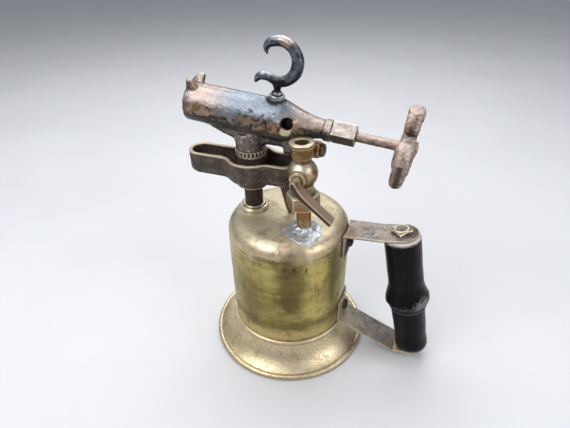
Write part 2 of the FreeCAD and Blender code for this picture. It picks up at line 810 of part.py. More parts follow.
def burner_cuts():
    """The passages, the air holes, the pipe's socket and the hook's hole in the casting."""
    socket_top = ring_top + s.socket_depth
    bores = turned_on_burner("burner_bores", [
        (0, -s.mouth_reach - s.cut_margin), (s.barrel_bore, -s.mouth_reach - s.cut_margin),
        (s.barrel_bore, s.bore_end), (s.jet_bore, s.jet_bore_start), (s.jet_bore, s.chamber_end),
        (spindle_fit, s.chamber_end), (spindle_fit, thread_end + s.cut_margin),
        (0, thread_end + s.cut_margin)])
    tools = [
        bores,
        primitive("Cylinder", "pipe_socket", Radius=pipe_fit, Height=socket_top - ring_top + s.cut_margin,
                  place=(-s.pipe_offset, 0, ring_top - s.cut_margin)),
        primitive("Cylinder", "riser", Radius=s.riser_radius, Height=s.rear_vein_height - ring_top,
                  place=(-s.pipe_offset, 0, ring_top)),
        primitive("Cylinder", "rear_passage", Radius=s.passage_radius, Height=s.rear_vein_run,
                  place=(-s.pipe_offset, 0, s.rear_vein_height - s.passage_drop), axis=AXIS_Y,
                  angle=as_size(90)),
        primitive("Cylinder", "cleanout_hole", Radius=s.cleanout_shank_radius + s.seat_gap,
                  Height=s.cleanout_shank + s.cut_margin,
                  place=(boss_face - s.cleanout_shank, 0, s.boss_height), axis=AXIS_Y, angle=as_size(90)),
        primitive("Cylinder", "cross_passage", Radius=s.passage_radius,
                  Height=s.boss_length - s.passage_radius - s.passage_drop,
                  place=(boss_back + s.passage_radius, 0, s.boss_height), axis=AXIS_Y, angle=as_size(90)),
        primitive("Cylinder", "feed_hole", Radius=s.feed_radius,
                  Height=s.burner_height - s.boss_height - s.jet_bore,
                  place=(boss_face - s.cleanout_shank - s.passage_radius, 0, s.boss_height)),
        primitive("Cylinder", "hook_hole", Radius=s.hook_stud_radius + s.seat_gap,
                  Height=s.hook_stud_depth + s.cut_margin,
                  place=on_axis(s.hook_place, s.hook_pad_height - s.hook_stud_depth), axis=AXIS_Y,
                  angle=s.burner_tilt)]
    for name, side in (("near", 1), ("far", -1)):
        turn = Rotation(AXIS_X, side * (90 - s.air_hole_rise.value))
        tools.append(primitive("Cylinder", f"{name}_air_hole", Radius=s.air_hole_radius,
                               Height=2 * s.barrel_radius,
                               frame=Placement(vector(on_axis(s.air_hole_place)), turn)))
    return tools


def make_burner():
    """The burner casting: barrel, stem, the passages under it, the horns and the hook's pad."""
    stem = turned("stem", [
        (0, ring_top), (s.stem_radius, ring_top), (s.stem_radius, ring_top + s.stem_straight),
        (s.stem_flare_radius, s.stem_top), (0, s.stem_top)], pipe_spot)
    slope = math.degrees(math.atan2(s.front_vein_drop.value, s.front_vein_run.value))
    length = root(s.front_vein_drop * s.front_vein_drop + s.front_vein_run * s.front_vein_run)
    front_vein = primitive("Cylinder", "front_vein", Radius=s.front_vein_radius, Height=length,
                           place=(-s.pipe_offset - s.front_vein_reach, 0, s.front_vein_height),
                           axis=AXIS_Y, angle=as_size(90 + slope))
    rear_vein = primitive("Cylinder", "rear_vein", Radius=s.rear_vein_radius, Height=s.rear_vein_run,
                          place=(-s.pipe_offset, 0, s.rear_vein_height), axis=AXIS_Y, angle=as_size(90))
    boss = primitive("Cylinder", "cleanout_boss", Radius=s.boss_radius, Height=s.boss_length,
                     place=(boss_back, 0, s.boss_height), axis=AXIS_Y, angle=as_size(90))
    web = primitive("Box", "boss_web_plate", Length=s.boss_length - s.boss_web, Width=s.boss_web,
                    Height=s.burner_height - s.boss_height - s.jet_bore,
                    place=(boss_back, s.boss_web / -2, s.boss_height))
    pad = primitive("Cylinder", "hook_pad", Radius=s.hook_pad_radius,
                    Height=s.hook_pad_height - s.barrel_bore,
                    place=on_axis(s.hook_place, s.barrel_bore), axis=AXIS_Y, angle=s.burner_tilt)
    solid = joined("burner_casting", [
        turned_on_burner("burner_turning", burner_outline()), stem, front_vein, rear_vein, boss, web, pad,
        horn("near_horn", 1), horn("far_horn", -1)])
    node("burner_body", cut("burner_cut", solid, burner_cuts()))


def make_hook():
    """The soldering-iron hook, a tapering round bar bent to a bow with a tongue, and its collar."""
    base = s.hook_pad_height
    collar_top = base + s.hook_collar_height
    spot = on_axis(s.hook_place)
    stud = s.hook_stud_radius
    node("hook_lock_collar", soften(turned("hook_collar", tube_corners(
        s.hook_collar_radius, stud + s.seat_gap, base, collar_top), spot, AXIS_Y, s.burner_tilt),
        s.horn_round / 2, [(s.hook_collar_radius, collar_top)]))
    bead_top = collar_top + s.hook_bead_height
    bow_low = s.hook_bow_height - s.hook_bow_radius
    shank = turned("hook_shank", [
        (0, base - s.hook_stud_depth), (stud, base - s.hook_stud_depth), (stud, collar_top),
        (s.hook_bead_radius, collar_top), (s.hook_bead_radius, bead_top), (s.hook_neck_radius, bead_top),
        (s.hook_bar / 2, bow_low), (0, bow_low)], spot, AXIS_Y, s.burner_tilt)
    bar = doc.addObject("Part::Feature", "hook_bar_form")
    bar.Shape = Part.makeLoft(hook_sections(), True, False)
    bar.Placement = Placement(vector(spot), Rotation(AXIS_Y, s.burner_tilt.value))
    node("soldering_hook", joined("hook_joined", [bar, shank]))


def hook_sections():
    """Round sections along the hook, from the bow's tip round to the tongue's point."""
    radius, height = s.hook_bow_radius.value, s.hook_bow_height.value
    thick, thin = s.hook_bar.value, s.hook_tip_bar.value
    tip = s.hook_tip_angle.value
    stations = []
    for i in range(BOW_STEPS + 1):
        share = i / BOW_STEPS
        angle = math.radians(tip - share * (tip + 90))
        bar = thin + (thick - thin) * math.sin(min(1, share * 2) * math.pi / 2)
        stations.append((radius * math.cos(angle), height + radius * math.sin(angle), bar))
    bottom = height - radius
    for along, rise, bar in ((s.tongue_root, as_size(0), s.tongue_root_bar),
                             (s.tongue_crest, s.tongue_crest_rise, s.tongue_crest_bar),
                             (s.tongue_bend, s.tongue_bend_rise, s.tongue_bend_bar),
                             (s.tongue_reach, -s.tongue_drop, s.tongue_tip_bar)):
        stations.append((-along.value, bottom + rise.value, bar.value))
    sections = []
    for i, (x, z, bar) in enumerate(stations):
        before, after = stations[max(i - 1, 0)], stations[min(i + 1, len(stations) - 1)]
        way = Vector(after[0] - before[0], 0, after[1] - before[1])
        sections.append(Part.Wire([Part.makeCircle(bar / 2, Vector(x, 0, z), way)]))
    return sections


# Needle valve and clean-out plug

def make_needle_valve():
    """The jet, the needle spindle, its packing and square nut, and the handwheel with its nut."""
    jet_end = s.jet_start + s.jet_length
    seat = jet_end - s.jet_seat_depth
    jet_outer = s.jet_bore - s.seat_gap
    node("gas_jet", turned_on_burner("jet", [
        (s.jet_orifice, s.jet_start - s.jet_nose), (s.jet_nose_radius, s.jet_start - s.jet_nose),
        (jet_outer, s.jet_start), (jet_outer, jet_end), (s.jet_seat_radius, jet_end), (s.jet_orifice, seat)]))
    cone_end = s.needle_tip + s.needle_cone
    node("needle_spindle", turned_on_burner("spindle", [
        (0, s.needle_tip), (s.needle_tip_radius, s.needle_tip), (s.needle_radius, cone_end),
        (s.needle_radius, s.spindle_start), (s.spindle_radius, s.spindle_start),
        (s.spindle_radius, s.spindle_shoulder), (s.spindle_end_radius, s.spindle_shoulder),
        (s.spindle_end_radius, s.spindle_end), (0, s.spindle_end)]))
    packing_end = thread_end + s.packing_length
    node("packing_ring", turned_on_burner("packing", tube_corners(
        s.neck_thread_radius, spindle_fit, thread_end, packing_end)))

    nut_end = neck_end + s.nut_length
    recess = s.neck_thread_radius + s.seat_gap

    def nut_blank(corner, chamfer):
        return [(recess, neck_end), (corner - chamfer, neck_end), (corner, neck_end + chamfer),
                (corner, nut_end - chamfer), (corner - chamfer, nut_end), (spindle_fit, nut_end),
                (spindle_fit, packing_end), (recess, packing_end)]

    node("packing_nut", chamfered("packing_square", 4, s.nut_width, s.nut_chamfer, nut_blank, neck_end,
                                  s.nut_length, burner_spot, AXIS_Y, burner_turn, s.nut_turn.value))
    make_wheel()


def make_wheel():
    """The cast handwheel with four lobes, and the nut that holds it on the spindle."""
    low = s.spindle_shoulder + s.wheel_gap
    top = low + s.wheel_thick
    bore = s.spindle_end_radius + s.running_gap
    discs = [turned_on_burner("wheel_web", [(0, low), (s.wheel_web_radius, low), (s.wheel_web_radius, top),
                                            (0, top)])]
    reach = s.wheel_radius - s.lobe_radius
    start = vector(burner_spot)
    along = Rotation(AXIS_Y, burner_turn.value)
    for i in range(WHEEL_LOBES):
        spot = Rotation(AXIS_Z, 360 / WHEEL_LOBES * i).multVec(vector((reach, 0, low)))
        frame = Placement(start, along) * Placement(spot, Rotation())
        discs.append(primitive("Cylinder", f"wheel_lobe_{i}", Radius=s.lobe_radius, Height=s.wheel_thick,
                               frame=frame))
    blank = joined("wheel_blank", discs)

    def on_face(edge):
        heights = [(vertex.Point - start).dot(along.multVec(AXIS_Z)) for vertex in edge.Vertexes]
        return any(all(abs(height - face.value) < SAME for height in heights) for face in (low, top))

    smooth = rounded("wheel_smooth", blank, s.wheel_round, on_face)
    dish = turned_on_burner("wheel_dish_form", [
        (s.wheel_hub_radius, top - s.wheel_dish), (s.wheel_dish_radius, top - s.wheel_dish),
        (s.wheel_dish_radius, top + s.cut_margin), (s.wheel_hub_radius, top + s.cut_margin)])
    hole = turned_on_burner("wheel_hole", [(0, low - s.cut_margin), (bore, low - s.cut_margin),
                                           (bore, top + s.cut_margin), (0, top + s.cut_margin)])
    node("handwheel", cut("wheel_cut", smooth, [dish, hole]))
    nut_top = top + s.wheel_nut_height

    def nut_blank(corner, chamfer):
        return [(bore, top), (corner, top), (corner, nut_top - chamfer), (corner - chamfer, nut_top),
                (bore, nut_top)]

    node("wheel_nut", chamfered("wheel_hex", 6, s.wheel_nut_width, s.nut_chamfer, nut_blank, top,
                                s.wheel_nut_height, burner_spot, AXIS_Y, burner_turn, 0))


def make_cleanout():
    """The hex bush at the rear of the lower passage and the round plug that closes it."""
    spot = (boss_face, as_size(0), s.boss_height)
    quarter = as_size(90)

    def bush_blank(corner, chamfer):
        return [(s.cleanout_bore, -s.cleanout_shank), (s.cleanout_shank_radius, -s.cleanout_shank),
                (s.cleanout_shank_radius, 0), (corner - chamfer, 0), (corner, chamfer),
                (corner, s.cleanout_hex - chamfer), (corner - chamfer, s.cleanout_hex),
                (s.cleanout_bore, s.cleanout_hex)]

    node("cleanout_bush", chamfered("cleanout_hexagon", 6, s.cleanout_width, s.nut_chamfer, bush_blank,
                                    -s.cleanout_shank, s.cleanout_shank + s.cleanout_hex, spot, AXIS_Y,
                                    quarter, 30))
    knob_end = s.cleanout_hex + s.plug_knob_length
    shank = s.cleanout_bore - s.seat_gap
    plug = turned("cleanout_knob", [
        (0, s.cleanout_hex - s.plug_shank), (shank, s.cleanout_hex - s.plug_shank), (shank, s.cleanout_hex),
        (s.plug_knob_radius, s.cleanout_hex), (s.plug_knob_radius, knob_end), (0, knob_end)],
        spot, AXIS_Y, quarter)
    node("cleanout_plug", soften(plug, s.plug_knob_length / 2, [(s.plug_knob_radius, knob_end)]))


# Filler cock

def turned_on_valve(name, corners):
    """A body turned about the filler cock's axis, from (radius, height above the tank) corners."""
    return turned(name, corners, valve_spot, AXIS_Y, -s.valve_lean)


ball_spot = along_valve(s.ball_height)
plug_slope = (s.plug_front_radius - s.plug_rear_radius) / (s.plug_boss_face + s.plug_back_face)


def turned_on_plug(name, corners):
    """A body turned about the plug's axis, from (radius, distance towards the lever) corners."""
    return turned(name, corners, ball_spot, AXIS_X, as_size(90))


def make_filler():
    """The tube, its solder, the cock's body with hexagon and ball, and the cup on top."""
    tube_top = s.hex_bottom - s.hex_under + s.tube_socket
    node("filler_tube", turned_on_valve("tube", tube_corners(
        s.tube_radius, s.tube_bore, -s.tube_depth, tube_top)))
    mound = turned("solder_mound", [
        (0, 0), (s.solder_radius, 0), (s.solder_radius, s.solder_edge),
        (s.solder_crown_radius, s.solder_rise / 2), (s.solder_top_radius, s.solder_rise), (0, s.solder_rise)],
        valve_spot)
    puddle = primitive("Cylinder", "solder_puddle", Radius=s.puddle_radius, Height=s.puddle_thick,
                       place=(s.valve_place - s.puddle_shift_x, -s.valve_side - s.puddle_shift_y, s.tank_top))
    tube_space = turned_on_valve("tube_space", [
        (0, -s.cut_margin), (s.tube_radius + s.seat_gap, -s.cut_margin),
        (s.tube_radius + s.seat_gap, s.solder_rise + s.cut_margin), (0, s.solder_rise + s.cut_margin)])
    node("solder_fillet", cut("solder_cut", joined("solder", [mound, puddle]), [tube_space]))

    socket = s.tube_radius + s.seat_gap
    under = s.hex_bottom - s.hex_under
    hex_top = s.hex_bottom + s.hex_height

    def hex_blank(corner, chamfer):
        return [(socket, s.hex_bottom), (corner - chamfer, s.hex_bottom), (corner, s.hex_bottom + chamfer),
                (corner, hex_top - chamfer), (corner - chamfer, hex_top), (socket, hex_top)]

    hexagon = chamfered("valve_hexagon", 6, s.hex_width, s.hex_chamfer, hex_blank, s.hex_bottom,
                        s.hex_height, valve_spot, AXIS_Y, -s.valve_lean, 30 + s.hex_turn.value)
    ball_low = s.ball_height - root(s.ball_radius * s.ball_radius - s.ball_neck_radius * s.ball_neck_radius)
    ball_high = s.ball_height + root(s.ball_radius * s.ball_radius - s.ball_top_radius * s.ball_top_radius)
    turning = turned_on_valve("valve_turning", [
        (0, under), (s.hex_under_radius, under), (s.hex_width / 2, s.hex_bottom), (s.hex_width / 2, hex_top),
        (s.ball_neck_radius, hex_top), (s.ball_neck_radius, ball_low, s.ball_radius),
        (s.ball_radius, s.ball_height, s.ball_radius), (s.ball_top_radius, ball_high),
        (s.ball_top_radius, s.ball_top), (0, s.ball_top)])
    front = turned_on_plug("plug_boss", [
        (0, 0), (s.plug_boss_radius, 0), (s.plug_boss_radius, s.plug_boss_face), (0, s.plug_boss_face)])
    back = turned_on_plug("plug_back", [
        (0, -s.plug_back_face), (s.plug_back_radius, -s.plug_back_face), (s.plug_back_radius, 0), (0, 0)])
    passage_low = under + s.tube_socket
    passage = turned_on_valve("valve_bores", [
        (0, under - s.cut_margin), (socket, under - s.cut_margin), (socket, passage_low),
        (s.valve_passage, passage_low), (s.valve_passage, s.ball_top - s.cup_spigot),
        (s.cup_spigot_radius + s.seat_gap, s.ball_top - s.cup_spigot),
        (s.cup_spigot_radius + s.seat_gap, s.ball_top + s.cut_margin), (0, s.ball_top + s.cut_margin)])
    front_face = s.plug_boss_face + s.cut_margin
    rear_face = s.plug_back_face + s.cut_margin
    plug_hole = turned_on_plug("plug_hole", [
        (0, -rear_face), (s.plug_rear_radius + s.running_gap - plug_slope * s.cut_margin, -rear_face),
        (s.plug_front_radius + s.running_gap + plug_slope * s.cut_margin, front_face), (0, front_face)])
    node("filler_valve_body", cut("valve_cut", joined("valve_solid", [hexagon, turning, front, back]),
                                  [passage, plug_hole]))

    cup_low = s.ball_top - s.cup_spigot
    flange_low = s.cup_top - s.cup_flange
    bowl_floor = s.cup_top - s.cup_bowl_depth
    cup = turned_on_valve("cup", [
        (s.valve_passage, cup_low), (s.cup_spigot_radius, cup_low), (s.cup_spigot_radius, s.ball_top),
        (s.ball_top_radius, s.ball_top), (s.cup_body_radius, s.ball_top + s.cup_cone),
        (s.cup_body_radius, flange_low), (s.cup_flange_radius, flange_low), (s.cup_flange_radius, s.cup_top),
        (s.cup_bowl_radius, s.cup_top), (s.cup_bowl_radius, bowl_floor), (s.valve_passage, bowl_floor)])
    node("filler_cup", soften(cup, s.cup_flange / 4, [(s.cup_flange_radius, s.cup_top),
                                                     (s.cup_flange_radius, flange_low)]))


def make_plug():
    """The tapered plug with its port, the lever on it, and the washer and screw that hold it in."""
    lever_end = s.plug_boss_face + s.lever_gap + s.lever_width
    cone = turned_on_plug("plug_cone", [
        (0, -s.plug_back_face), (s.plug_rear_radius, -s.plug_back_face),
        (s.plug_front_radius, s.plug_boss_face), (s.plug_spindle_radius, s.plug_boss_face),
        (s.plug_spindle_radius, lever_end), (0, lever_end)])
    port = primitive("Cylinder", "plug_port_hole", Radius=s.plug_port, Height=2 * s.ball_radius,
                     place=(ball_spot[0] - s.ball_radius, ball_spot[1], ball_spot[2]), axis=AXIS_Y,
                     angle=as_size(90))
    screw_fit = s.plug_screw_shank_radius + s.seat_gap
    screw_hole = turned_on_plug("plug_screw_hole", [
        (0, -s.plug_back_face - s.cut_margin), (screw_fit, -s.plug_back_face - s.cut_margin),
        (screw_fit, s.plug_screw_shank - s.plug_back_face), (0, s.plug_screw_shank - s.plug_back_face)])
    node("valve_plug", cut("plug_cut", cone, [port, screw_hole]))

    washer_face = s.plug_back_face + s.running_gap + s.plug_washer
    node("plug_washer", turned_on_plug("washer", tube_corners(
        s.plug_washer_radius, screw_fit, -washer_face, s.plug_washer - washer_face)))
    head = washer_face + s.plug_screw_head
    screw_tip = s.plug_screw_shank - washer_face
    node("plug_screw", turned_on_plug("screw", [
        (0, -head), (s.plug_screw_radius, -head), (s.plug_screw_radius, -washer_face),
        (s.plug_screw_shank_radius, -washer_face), (s.plug_screw_shank_radius, screw_tip), (0, screw_tip)]))

    near = ball_spot[1] - lever_end
    eye = primitive("Cylinder", "lever_eye", Radius=s.lever_eye_radius, Height=s.lever_width,
                    place=(ball_spot[0], near, ball_spot[2]), axis=AXIS_X, angle=as_size(-90))
    knee = (ball_spot[0] + s.lever_knee * cosine(s.lever_knee_angle),
            ball_spot[2] - s.lever_knee * sine(s.lever_knee_angle))
    bars = [eye]
    for name, start, length, slope in (
            ("lever_root", (ball_spot[0], ball_spot[2]), s.lever_knee, s.lever_knee_angle),
            ("lever_arm_bar", knee, s.lever_arm, s.lever_arm_angle)):
        half = s.lever_thick / 2
        bars.append(primitive("Box", name, Length=length, Width=s.lever_width, Height=s.lever_thick,
                              place=(start[0] - half * sine(slope), near, start[1] - half * cosine(slope)),
                              axis=AXIS_Y, angle=slope))
    bars.append(primitive("Cylinder", "lever_knee_round", Radius=s.lever_thick / 2, Height=s.lever_width,
                          place=(knee[0], near, knee[1]), axis=AXIS_X, angle=as_size(-90)))
    spindle_fit_end = lever_end + s.cut_margin
    spindle_hole = turned_on_plug("lever_hole", [
        (0, 0), (s.plug_spindle_radius + s.seat_gap, 0),
        (s.plug_spindle_radius + s.seat_gap, spindle_fit_end), (0, spindle_fit_end)])
    node("valve_lever", cut("lever_cut", joined("lever_solid", bars), [spindle_hole]))


# Handle

handle_spot = (s.handle_place, as_size(0), s.handle_height)


def by_handle(across, up):
    """A point of the plane Y = 0 given across and up the grip's own axis."""
    return (s.handle_place + across * cosine(s.handle_lean) - up * sine(s.handle_lean),
            s.handle_height + across * sine(s.handle_lean) + up * cosine(s.handle_lean))


def turned_on_handle(name, corners):
    """A body turned about the grip's axis, from (radius, height above the grip's top) corners."""
    return turned(name, corners, handle_spot, AXIS_Y, -s.handle_lean)


def make_grip():
    """The turned wooden grip, the bolt through it and the square nut on top."""
    length = s.grip_length
    node("grip", turned_on_handle("grip_wood", [
        (s.grip_bore, 0), (s.grip_top_radius, 0), (s.grip_upper_radius, -s.grip_chamfer),
        (s.grip_upper_radius, -s.grip_swell_start), (s.grip_swell_radius, -s.grip_swell_place),
        (s.grip_bulge_radius, -s.grip_bulge_start), (s.grip_bulge_radius, -s.grip_bulge_end),
        (s.grip_groove_radius, -s.grip_groove_place), (s.grip_waist_radius, -s.grip_waist_place),
        (s.grip_lower_radius, -s.grip_lower_start), (s.grip_lower_radius, -s.grip_lower_end),
        (s.grip_end_radius, -length), (s.grip_bore, -length)]))
    nut_low = s.strap_thick
    nut_top = nut_low + s.handle_nut_height
    bolt_low = -length - s.strap_thick
    bolt = turned_on_handle("bolt", [
        (0, bolt_low - s.bolt_head), (s.bolt_crown_radius, bolt_low - s.bolt_head),
        (s.bolt_head_radius, bolt_low), (s.bolt_radius, bolt_low), (s.bolt_radius, nut_low + s.bolt_end),
        (0, nut_low + s.bolt_end)])
    node("handle_bolt", bolt)

    def nut_blank(corner, chamfer):
        bore = s.bolt_radius + s.seat_gap
        return [(bore, nut_low), (corner, nut_low), (corner, nut_top - chamfer),
                (corner - s.handle_nut_slope, nut_top), (bore, nut_top)]

    node("handle_nut", chamfered("handle_square", 4, s.handle_nut_width, s.handle_nut_chamfer, nut_blank,
                                 nut_low, s.handle_nut_height, handle_spot, AXIS_Y, -s.handle_lean, 0))


def strap(label, root_height, seat, flange_low, flange_high, rivet_height):
    """A bent steel strap: a flange on the tank's wall, an arm and a round end square to the grip.

    The seat is the height, up the grip's axis, of the face of the strap's end that faces up.
    """
    under = seat - s.strap_thick
    far = s.strap_end_radius + s.cut_margin
    bend = by_handle(-s.strap_bend, seat)
    slope = (bend[1] - root_height) / (bend[0] - s.tank_radius)
    start = s.tank_radius - s.cut_margin
    start_height = root_height - slope * s.cut_margin
    arm = slab(f"{label}_arm", [
        (start, start_height), bend, by_handle(far, seat), by_handle(far, under),
        by_handle(-s.strap_bend, under), (start, start_height - s.strap_thick)], s.strap_width)
    reach = s.handle_place
    frame = Placement(vector(handle_spot), Rotation(AXIS_Y, -s.handle_lean.value))
    corner = Placement(vector((-2 * reach, s.strap_width / -2, seat - reach)), Rotation())
    middle = Placement(vector((0, 0, seat - reach)), Rotation())
    plan = [primitive("Box", f"{label}_plan", Length=2 * reach, Width=s.strap_width, Height=2 * reach,
                      frame=frame * corner),
            primitive("Cylinder", f"{label}_plan_end", Radius=s.strap_end_radius, Height=2 * reach,
                      frame=frame * middle)]
    arm = shared(f"{label}_trimmed", [arm, joined(f"{label}_plan_whole", plan)])

    inner = s.tank_radius + s.seat_gap
    outer = inner + s.strap_thick
    band = turned(f"{label}_band", tube_corners(outer, inner, flange_low, flange_high))
    side = primitive("Box", f"{label}_side", Length=s.tank_radius + s.cut_margin, Width=s.strap_width,
                     Height=s.tank_top, place=(0, s.strap_width / -2, 0))
    flange = shared(f"{label}_flange", [band, side])
    tank = primitive("Cylinder", f"{label}_tank_space", Radius=inner, Height=s.tank_top + s.cut_margin)
    bolt_hole = turned_on_handle(f"{label}_bolt_hole", [
        (0, under - s.cut_margin), (s.strap_hole, under - s.cut_margin), (s.strap_hole, seat + s.cut_margin),
        (0, seat + s.cut_margin)])
    rivet = rivet_hole(f"{label}_rivet_hole", rivet_height, s.rivet_radius + s.seat_gap)
    node(label, cut(f"{label}_cut", joined(f"{label}_solid", [arm, flange]), [tank, bolt_hole, rivet]))


def rivet(label, height):
    """A rivet through a strap's flange and the tank's wall, domed outside and flat inside."""
    outside = s.tank_radius + s.seat_gap + s.strap_thick
    inside = tank_inner - s.seat_gap - s.rivet_tail_radius * s.rivet_tail_radius / tank_inner
    tail = inside - s.rivet_tail
    head = turned(f"{label}_form", [
        (0, tail), (s.rivet_tail_radius, tail), (s.rivet_tail_radius, inside),
        (s.rivet_radius, inside), (s.rivet_radius, outside), (s.rivet_head_radius, outside),
        (s.rivet_head_radius, outside + s.rivet_head), (0, outside + s.rivet_head)],
        (as_size(0), as_size(0), height), AXIS_Y, as_size(90))
    node(label, soften(head, s.rivet_round, [(s.rivet_head_radius, outside + s.rivet_head)]))


def make_handle():
    """The two straps with their rivets, and the grip between them."""
    strap("upper_strap", s.upper_strap_height, s.strap_thick, s.upper_flange_bottom, s.upper_strap_height,
          s.upper_rivet_height)
    strap("lower_strap", s.lower_strap_height, -s.grip_length, s.lower_strap_height - s.strap_thick,
          s.lower_flange_top, s.lower_rivet_height)
    rivet("upper_rivet", s.upper_rivet_height)
    rivet("lower_rivet", s.lower_rivet_height)
    make_grip()


make_tank()
make_standpipe()
make_pan()
make_burner()
make_hook()
make_needle_valve()
make_cleanout()
make_filler()
make_plug()
make_handle()
doc.recompute()

for item in doc.Objects:
    if "Invalid" in item.State or "Error" in item.State:
        raise ValueError(f"{item.Name} failed: {item.getStatusString()}")
for item in nodes:
    if item.Shape.isNull() or not item.Shape.isValid():
        raise ValueError(f"{item.Label} has no valid shape")

os.makedirs("parts", exist_ok=True)
for item in nodes:
    item.Shape.exportStep(f"parts/{item.Label}.step")
    print(item.Label, len(item.Shape.Solids), round(item.Shape.Volume, 1))
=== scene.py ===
"""An old brass gasoline blowtorch, dressed for a plain studio picture.

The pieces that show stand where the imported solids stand: turned ones are spun from an outline, bent
ones are extruded, and cast ones take a worn skin over the solid. They keep the solids' sizes apart
from dents, rounded edges and a few bent, flattened or drawn-out forms. Sizes in the classes are
millimetres but for the studio's, and a mesh is scaled to metres when it becomes a piece.
"""
import json
import logging
import math
from collections.abc import Callable
from dataclasses import dataclass, field
from enum import Enum
from functools import lru_cache, partial

import bmesh
import bpy
import numpy as np
from mathutils import Matrix, Vector, noise


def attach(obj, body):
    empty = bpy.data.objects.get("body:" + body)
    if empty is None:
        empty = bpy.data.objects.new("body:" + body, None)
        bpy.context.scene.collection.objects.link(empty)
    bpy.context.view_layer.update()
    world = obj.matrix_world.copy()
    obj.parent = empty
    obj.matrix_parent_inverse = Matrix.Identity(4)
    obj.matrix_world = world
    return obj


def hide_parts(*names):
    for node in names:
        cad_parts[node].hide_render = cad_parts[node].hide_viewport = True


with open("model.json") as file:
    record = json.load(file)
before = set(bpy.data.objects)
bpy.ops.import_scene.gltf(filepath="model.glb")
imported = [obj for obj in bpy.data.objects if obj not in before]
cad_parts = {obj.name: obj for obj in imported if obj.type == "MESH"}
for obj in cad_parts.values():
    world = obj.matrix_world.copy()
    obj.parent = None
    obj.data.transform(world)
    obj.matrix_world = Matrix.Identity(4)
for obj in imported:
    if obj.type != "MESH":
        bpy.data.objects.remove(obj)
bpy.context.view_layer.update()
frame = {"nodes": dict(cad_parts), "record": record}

MM = 0.001
LOG = logging.getLogger("blowtorch")
BODY_OF = {node: body for body, nodes in frame["record"]["behaviour"]["bodies"].items() for node in nodes}

# Places and sizes that several sub-assemblies share, in millimetres and degrees.
STANDPIPE_X = -27.9
BURNER_HEIGHT = 191.7
BURNER_TILT = 5.4
TANK_TOP = 117.0
COCK = (17.3, -15.8)
TUBE_RADIUS = 5.2

# The sharpest turn of a surface that is noted, per millimetre.
SHARPEST = 2.0

Colour = tuple[int, int, int]
Pair = tuple[float, float]
Triple = tuple[float, float, float]
Socket = bpy.types.NodeSocket
Weight = Callable[[Vector], float]


def linear(colour: Colour) -> tuple[float, float, float, float]:
    """The shader's value of a colour given in screen numbers of 0 to 255.

    Args:
        colour: Red, green and blue.

    Returns:
        The four numbers that a colour socket takes.
    """
    parts = [(c / 255) / 12.92 if c <= 10 else ((c / 255 + 0.055) / 1.055) ** 2.4 for c in colour]
    return (*parts, 1.0)


def on_y(degrees: float, spot: Triple) -> Matrix:
    """A frame at a spot whose upright is turned about the sideways axis."""
    return Matrix.Translation(Vector(spot)) @ Matrix.Rotation(math.radians(degrees), 4, "Y")


def burner_frame() -> Matrix:
    """The burner's own frame, whose upright runs along the barrel to the rear."""
    return on_y(90 + BURNER_TILT, (STANDPIPE_X, 0, BURNER_HEIGHT))


def ease(value: float, low: float, high: float) -> float:
    """A smooth step from 0 at low to 1 at high."""
    share = min(1.0, max(0.0, (value - low) / (high - low)))
    return share * share * (3 - 2 * share)


def spline(stations: tuple[Triple, ...], steps: int = 4) -> list[np.ndarray]:
    """Stations with others between them on a smooth curve.

    Args:
        stations: The places that the curve goes through.
        steps: How many steps it takes from one to the next.

    Returns:
        All places on the curve, in order.
    """
    rows = np.array([stations[0], *stations, stations[-1]])
    curve = []
    for a, b, c, d in zip(rows, rows[1:], rows[2:], rows[3:]):
        for share in np.arange(steps) / steps:
            bend = 2 * a - 5 * b + 4 * c - d + (3 * b - a - 3 * c + d) * share
            curve.append(b + ((c - a) * share + bend * share ** 2) / 2)
    return [*curve, rows[-1]]


def bar_sections(path: tuple[Triple, ...], spot: Matrix, width: float = 0.0) -> list[Matrix]:
    """The sections of a bent bar.

    Args:
        path: How far out and up each station is in the frame, and how thick the bar is there.
        spot: The frame.
        width: The width of a flat bar, or nothing for a round one.

    Returns:
        A frame for each section, scaled to its size.
    """
    curve = spline(path)
    made = []
    for before, (x, z, thick), after in zip([curve[0], *curve], curve, [*curve[1:], curve[-1]]):
        way = after - before
        size = Matrix.Diagonal((thick, width or thick, 1, 1))
        if width:
            size = size @ Matrix.Scale(math.sqrt(2), 4) @ Matrix.Rotation(math.radians(45), 4, "Z")
        turn = Matrix.Rotation(math.atan2(way[0], way[1]), 4, "Y")
        made.append(spot @ Matrix.Translation((x, 0, z)) @ turn @ size)
    return made


class Pattern(Enum):
    """Where a layer of a finish lies."""

    CLOUDS = "soft mottling"
    GRAINS = "spots in a random spacing"
    EDGES = "how sharply the surface turns outwards, per millimetre"
    SLOPE = "how far along a direction, in millimetres"
    SPOT = "how far from a point, in millimetres"
    FACING = "how far the surface faces a direction"


@dataclass(frozen=True)
class Layer:
    """One tarnish, rust, soot or wear over a metal, or a highlight or shade painted into its colour.

    Its cover runs from none at low to full at high. A stretch above 1 makes the pattern finer along
    that axis. The point or direction that it goes by is at, and broken is how far clouds of its size
    move its edge. The bump is in millimetres.
    """

    pattern: Pattern
    colour: Colour = (0, 0, 0)
    amount: float = 1.0
    size: float = 5.0
    low: float = 0.45
    high: float = 0.6
    stretch: Triple = (1.0, 1.0, 1.0)
    at: Triple = (0.0, 0.0, 1.0)
    broken: float = 0.0
    metallic: float | None = None
    roughness: float | None = None
    bump: float = 0.0


# A maker of layers for each pattern.
mottled = partial(Layer, Pattern.CLOUDS)
grained = partial(Layer, Pattern.GRAINS)
edged = partial(Layer, Pattern.EDGES)
sloped = partial(Layer, Pattern.SLOPE)
spotted = partial(Layer, Pattern.SPOT)
faced = partial(Layer, Pattern.FACING)


def pitted(size: float, bump: float) -> Layer:
    """A fine roughness that leaves the colour as it is."""
    return mottled(amount=0, size=size, low=0.3, high=0.7, bump=bump)


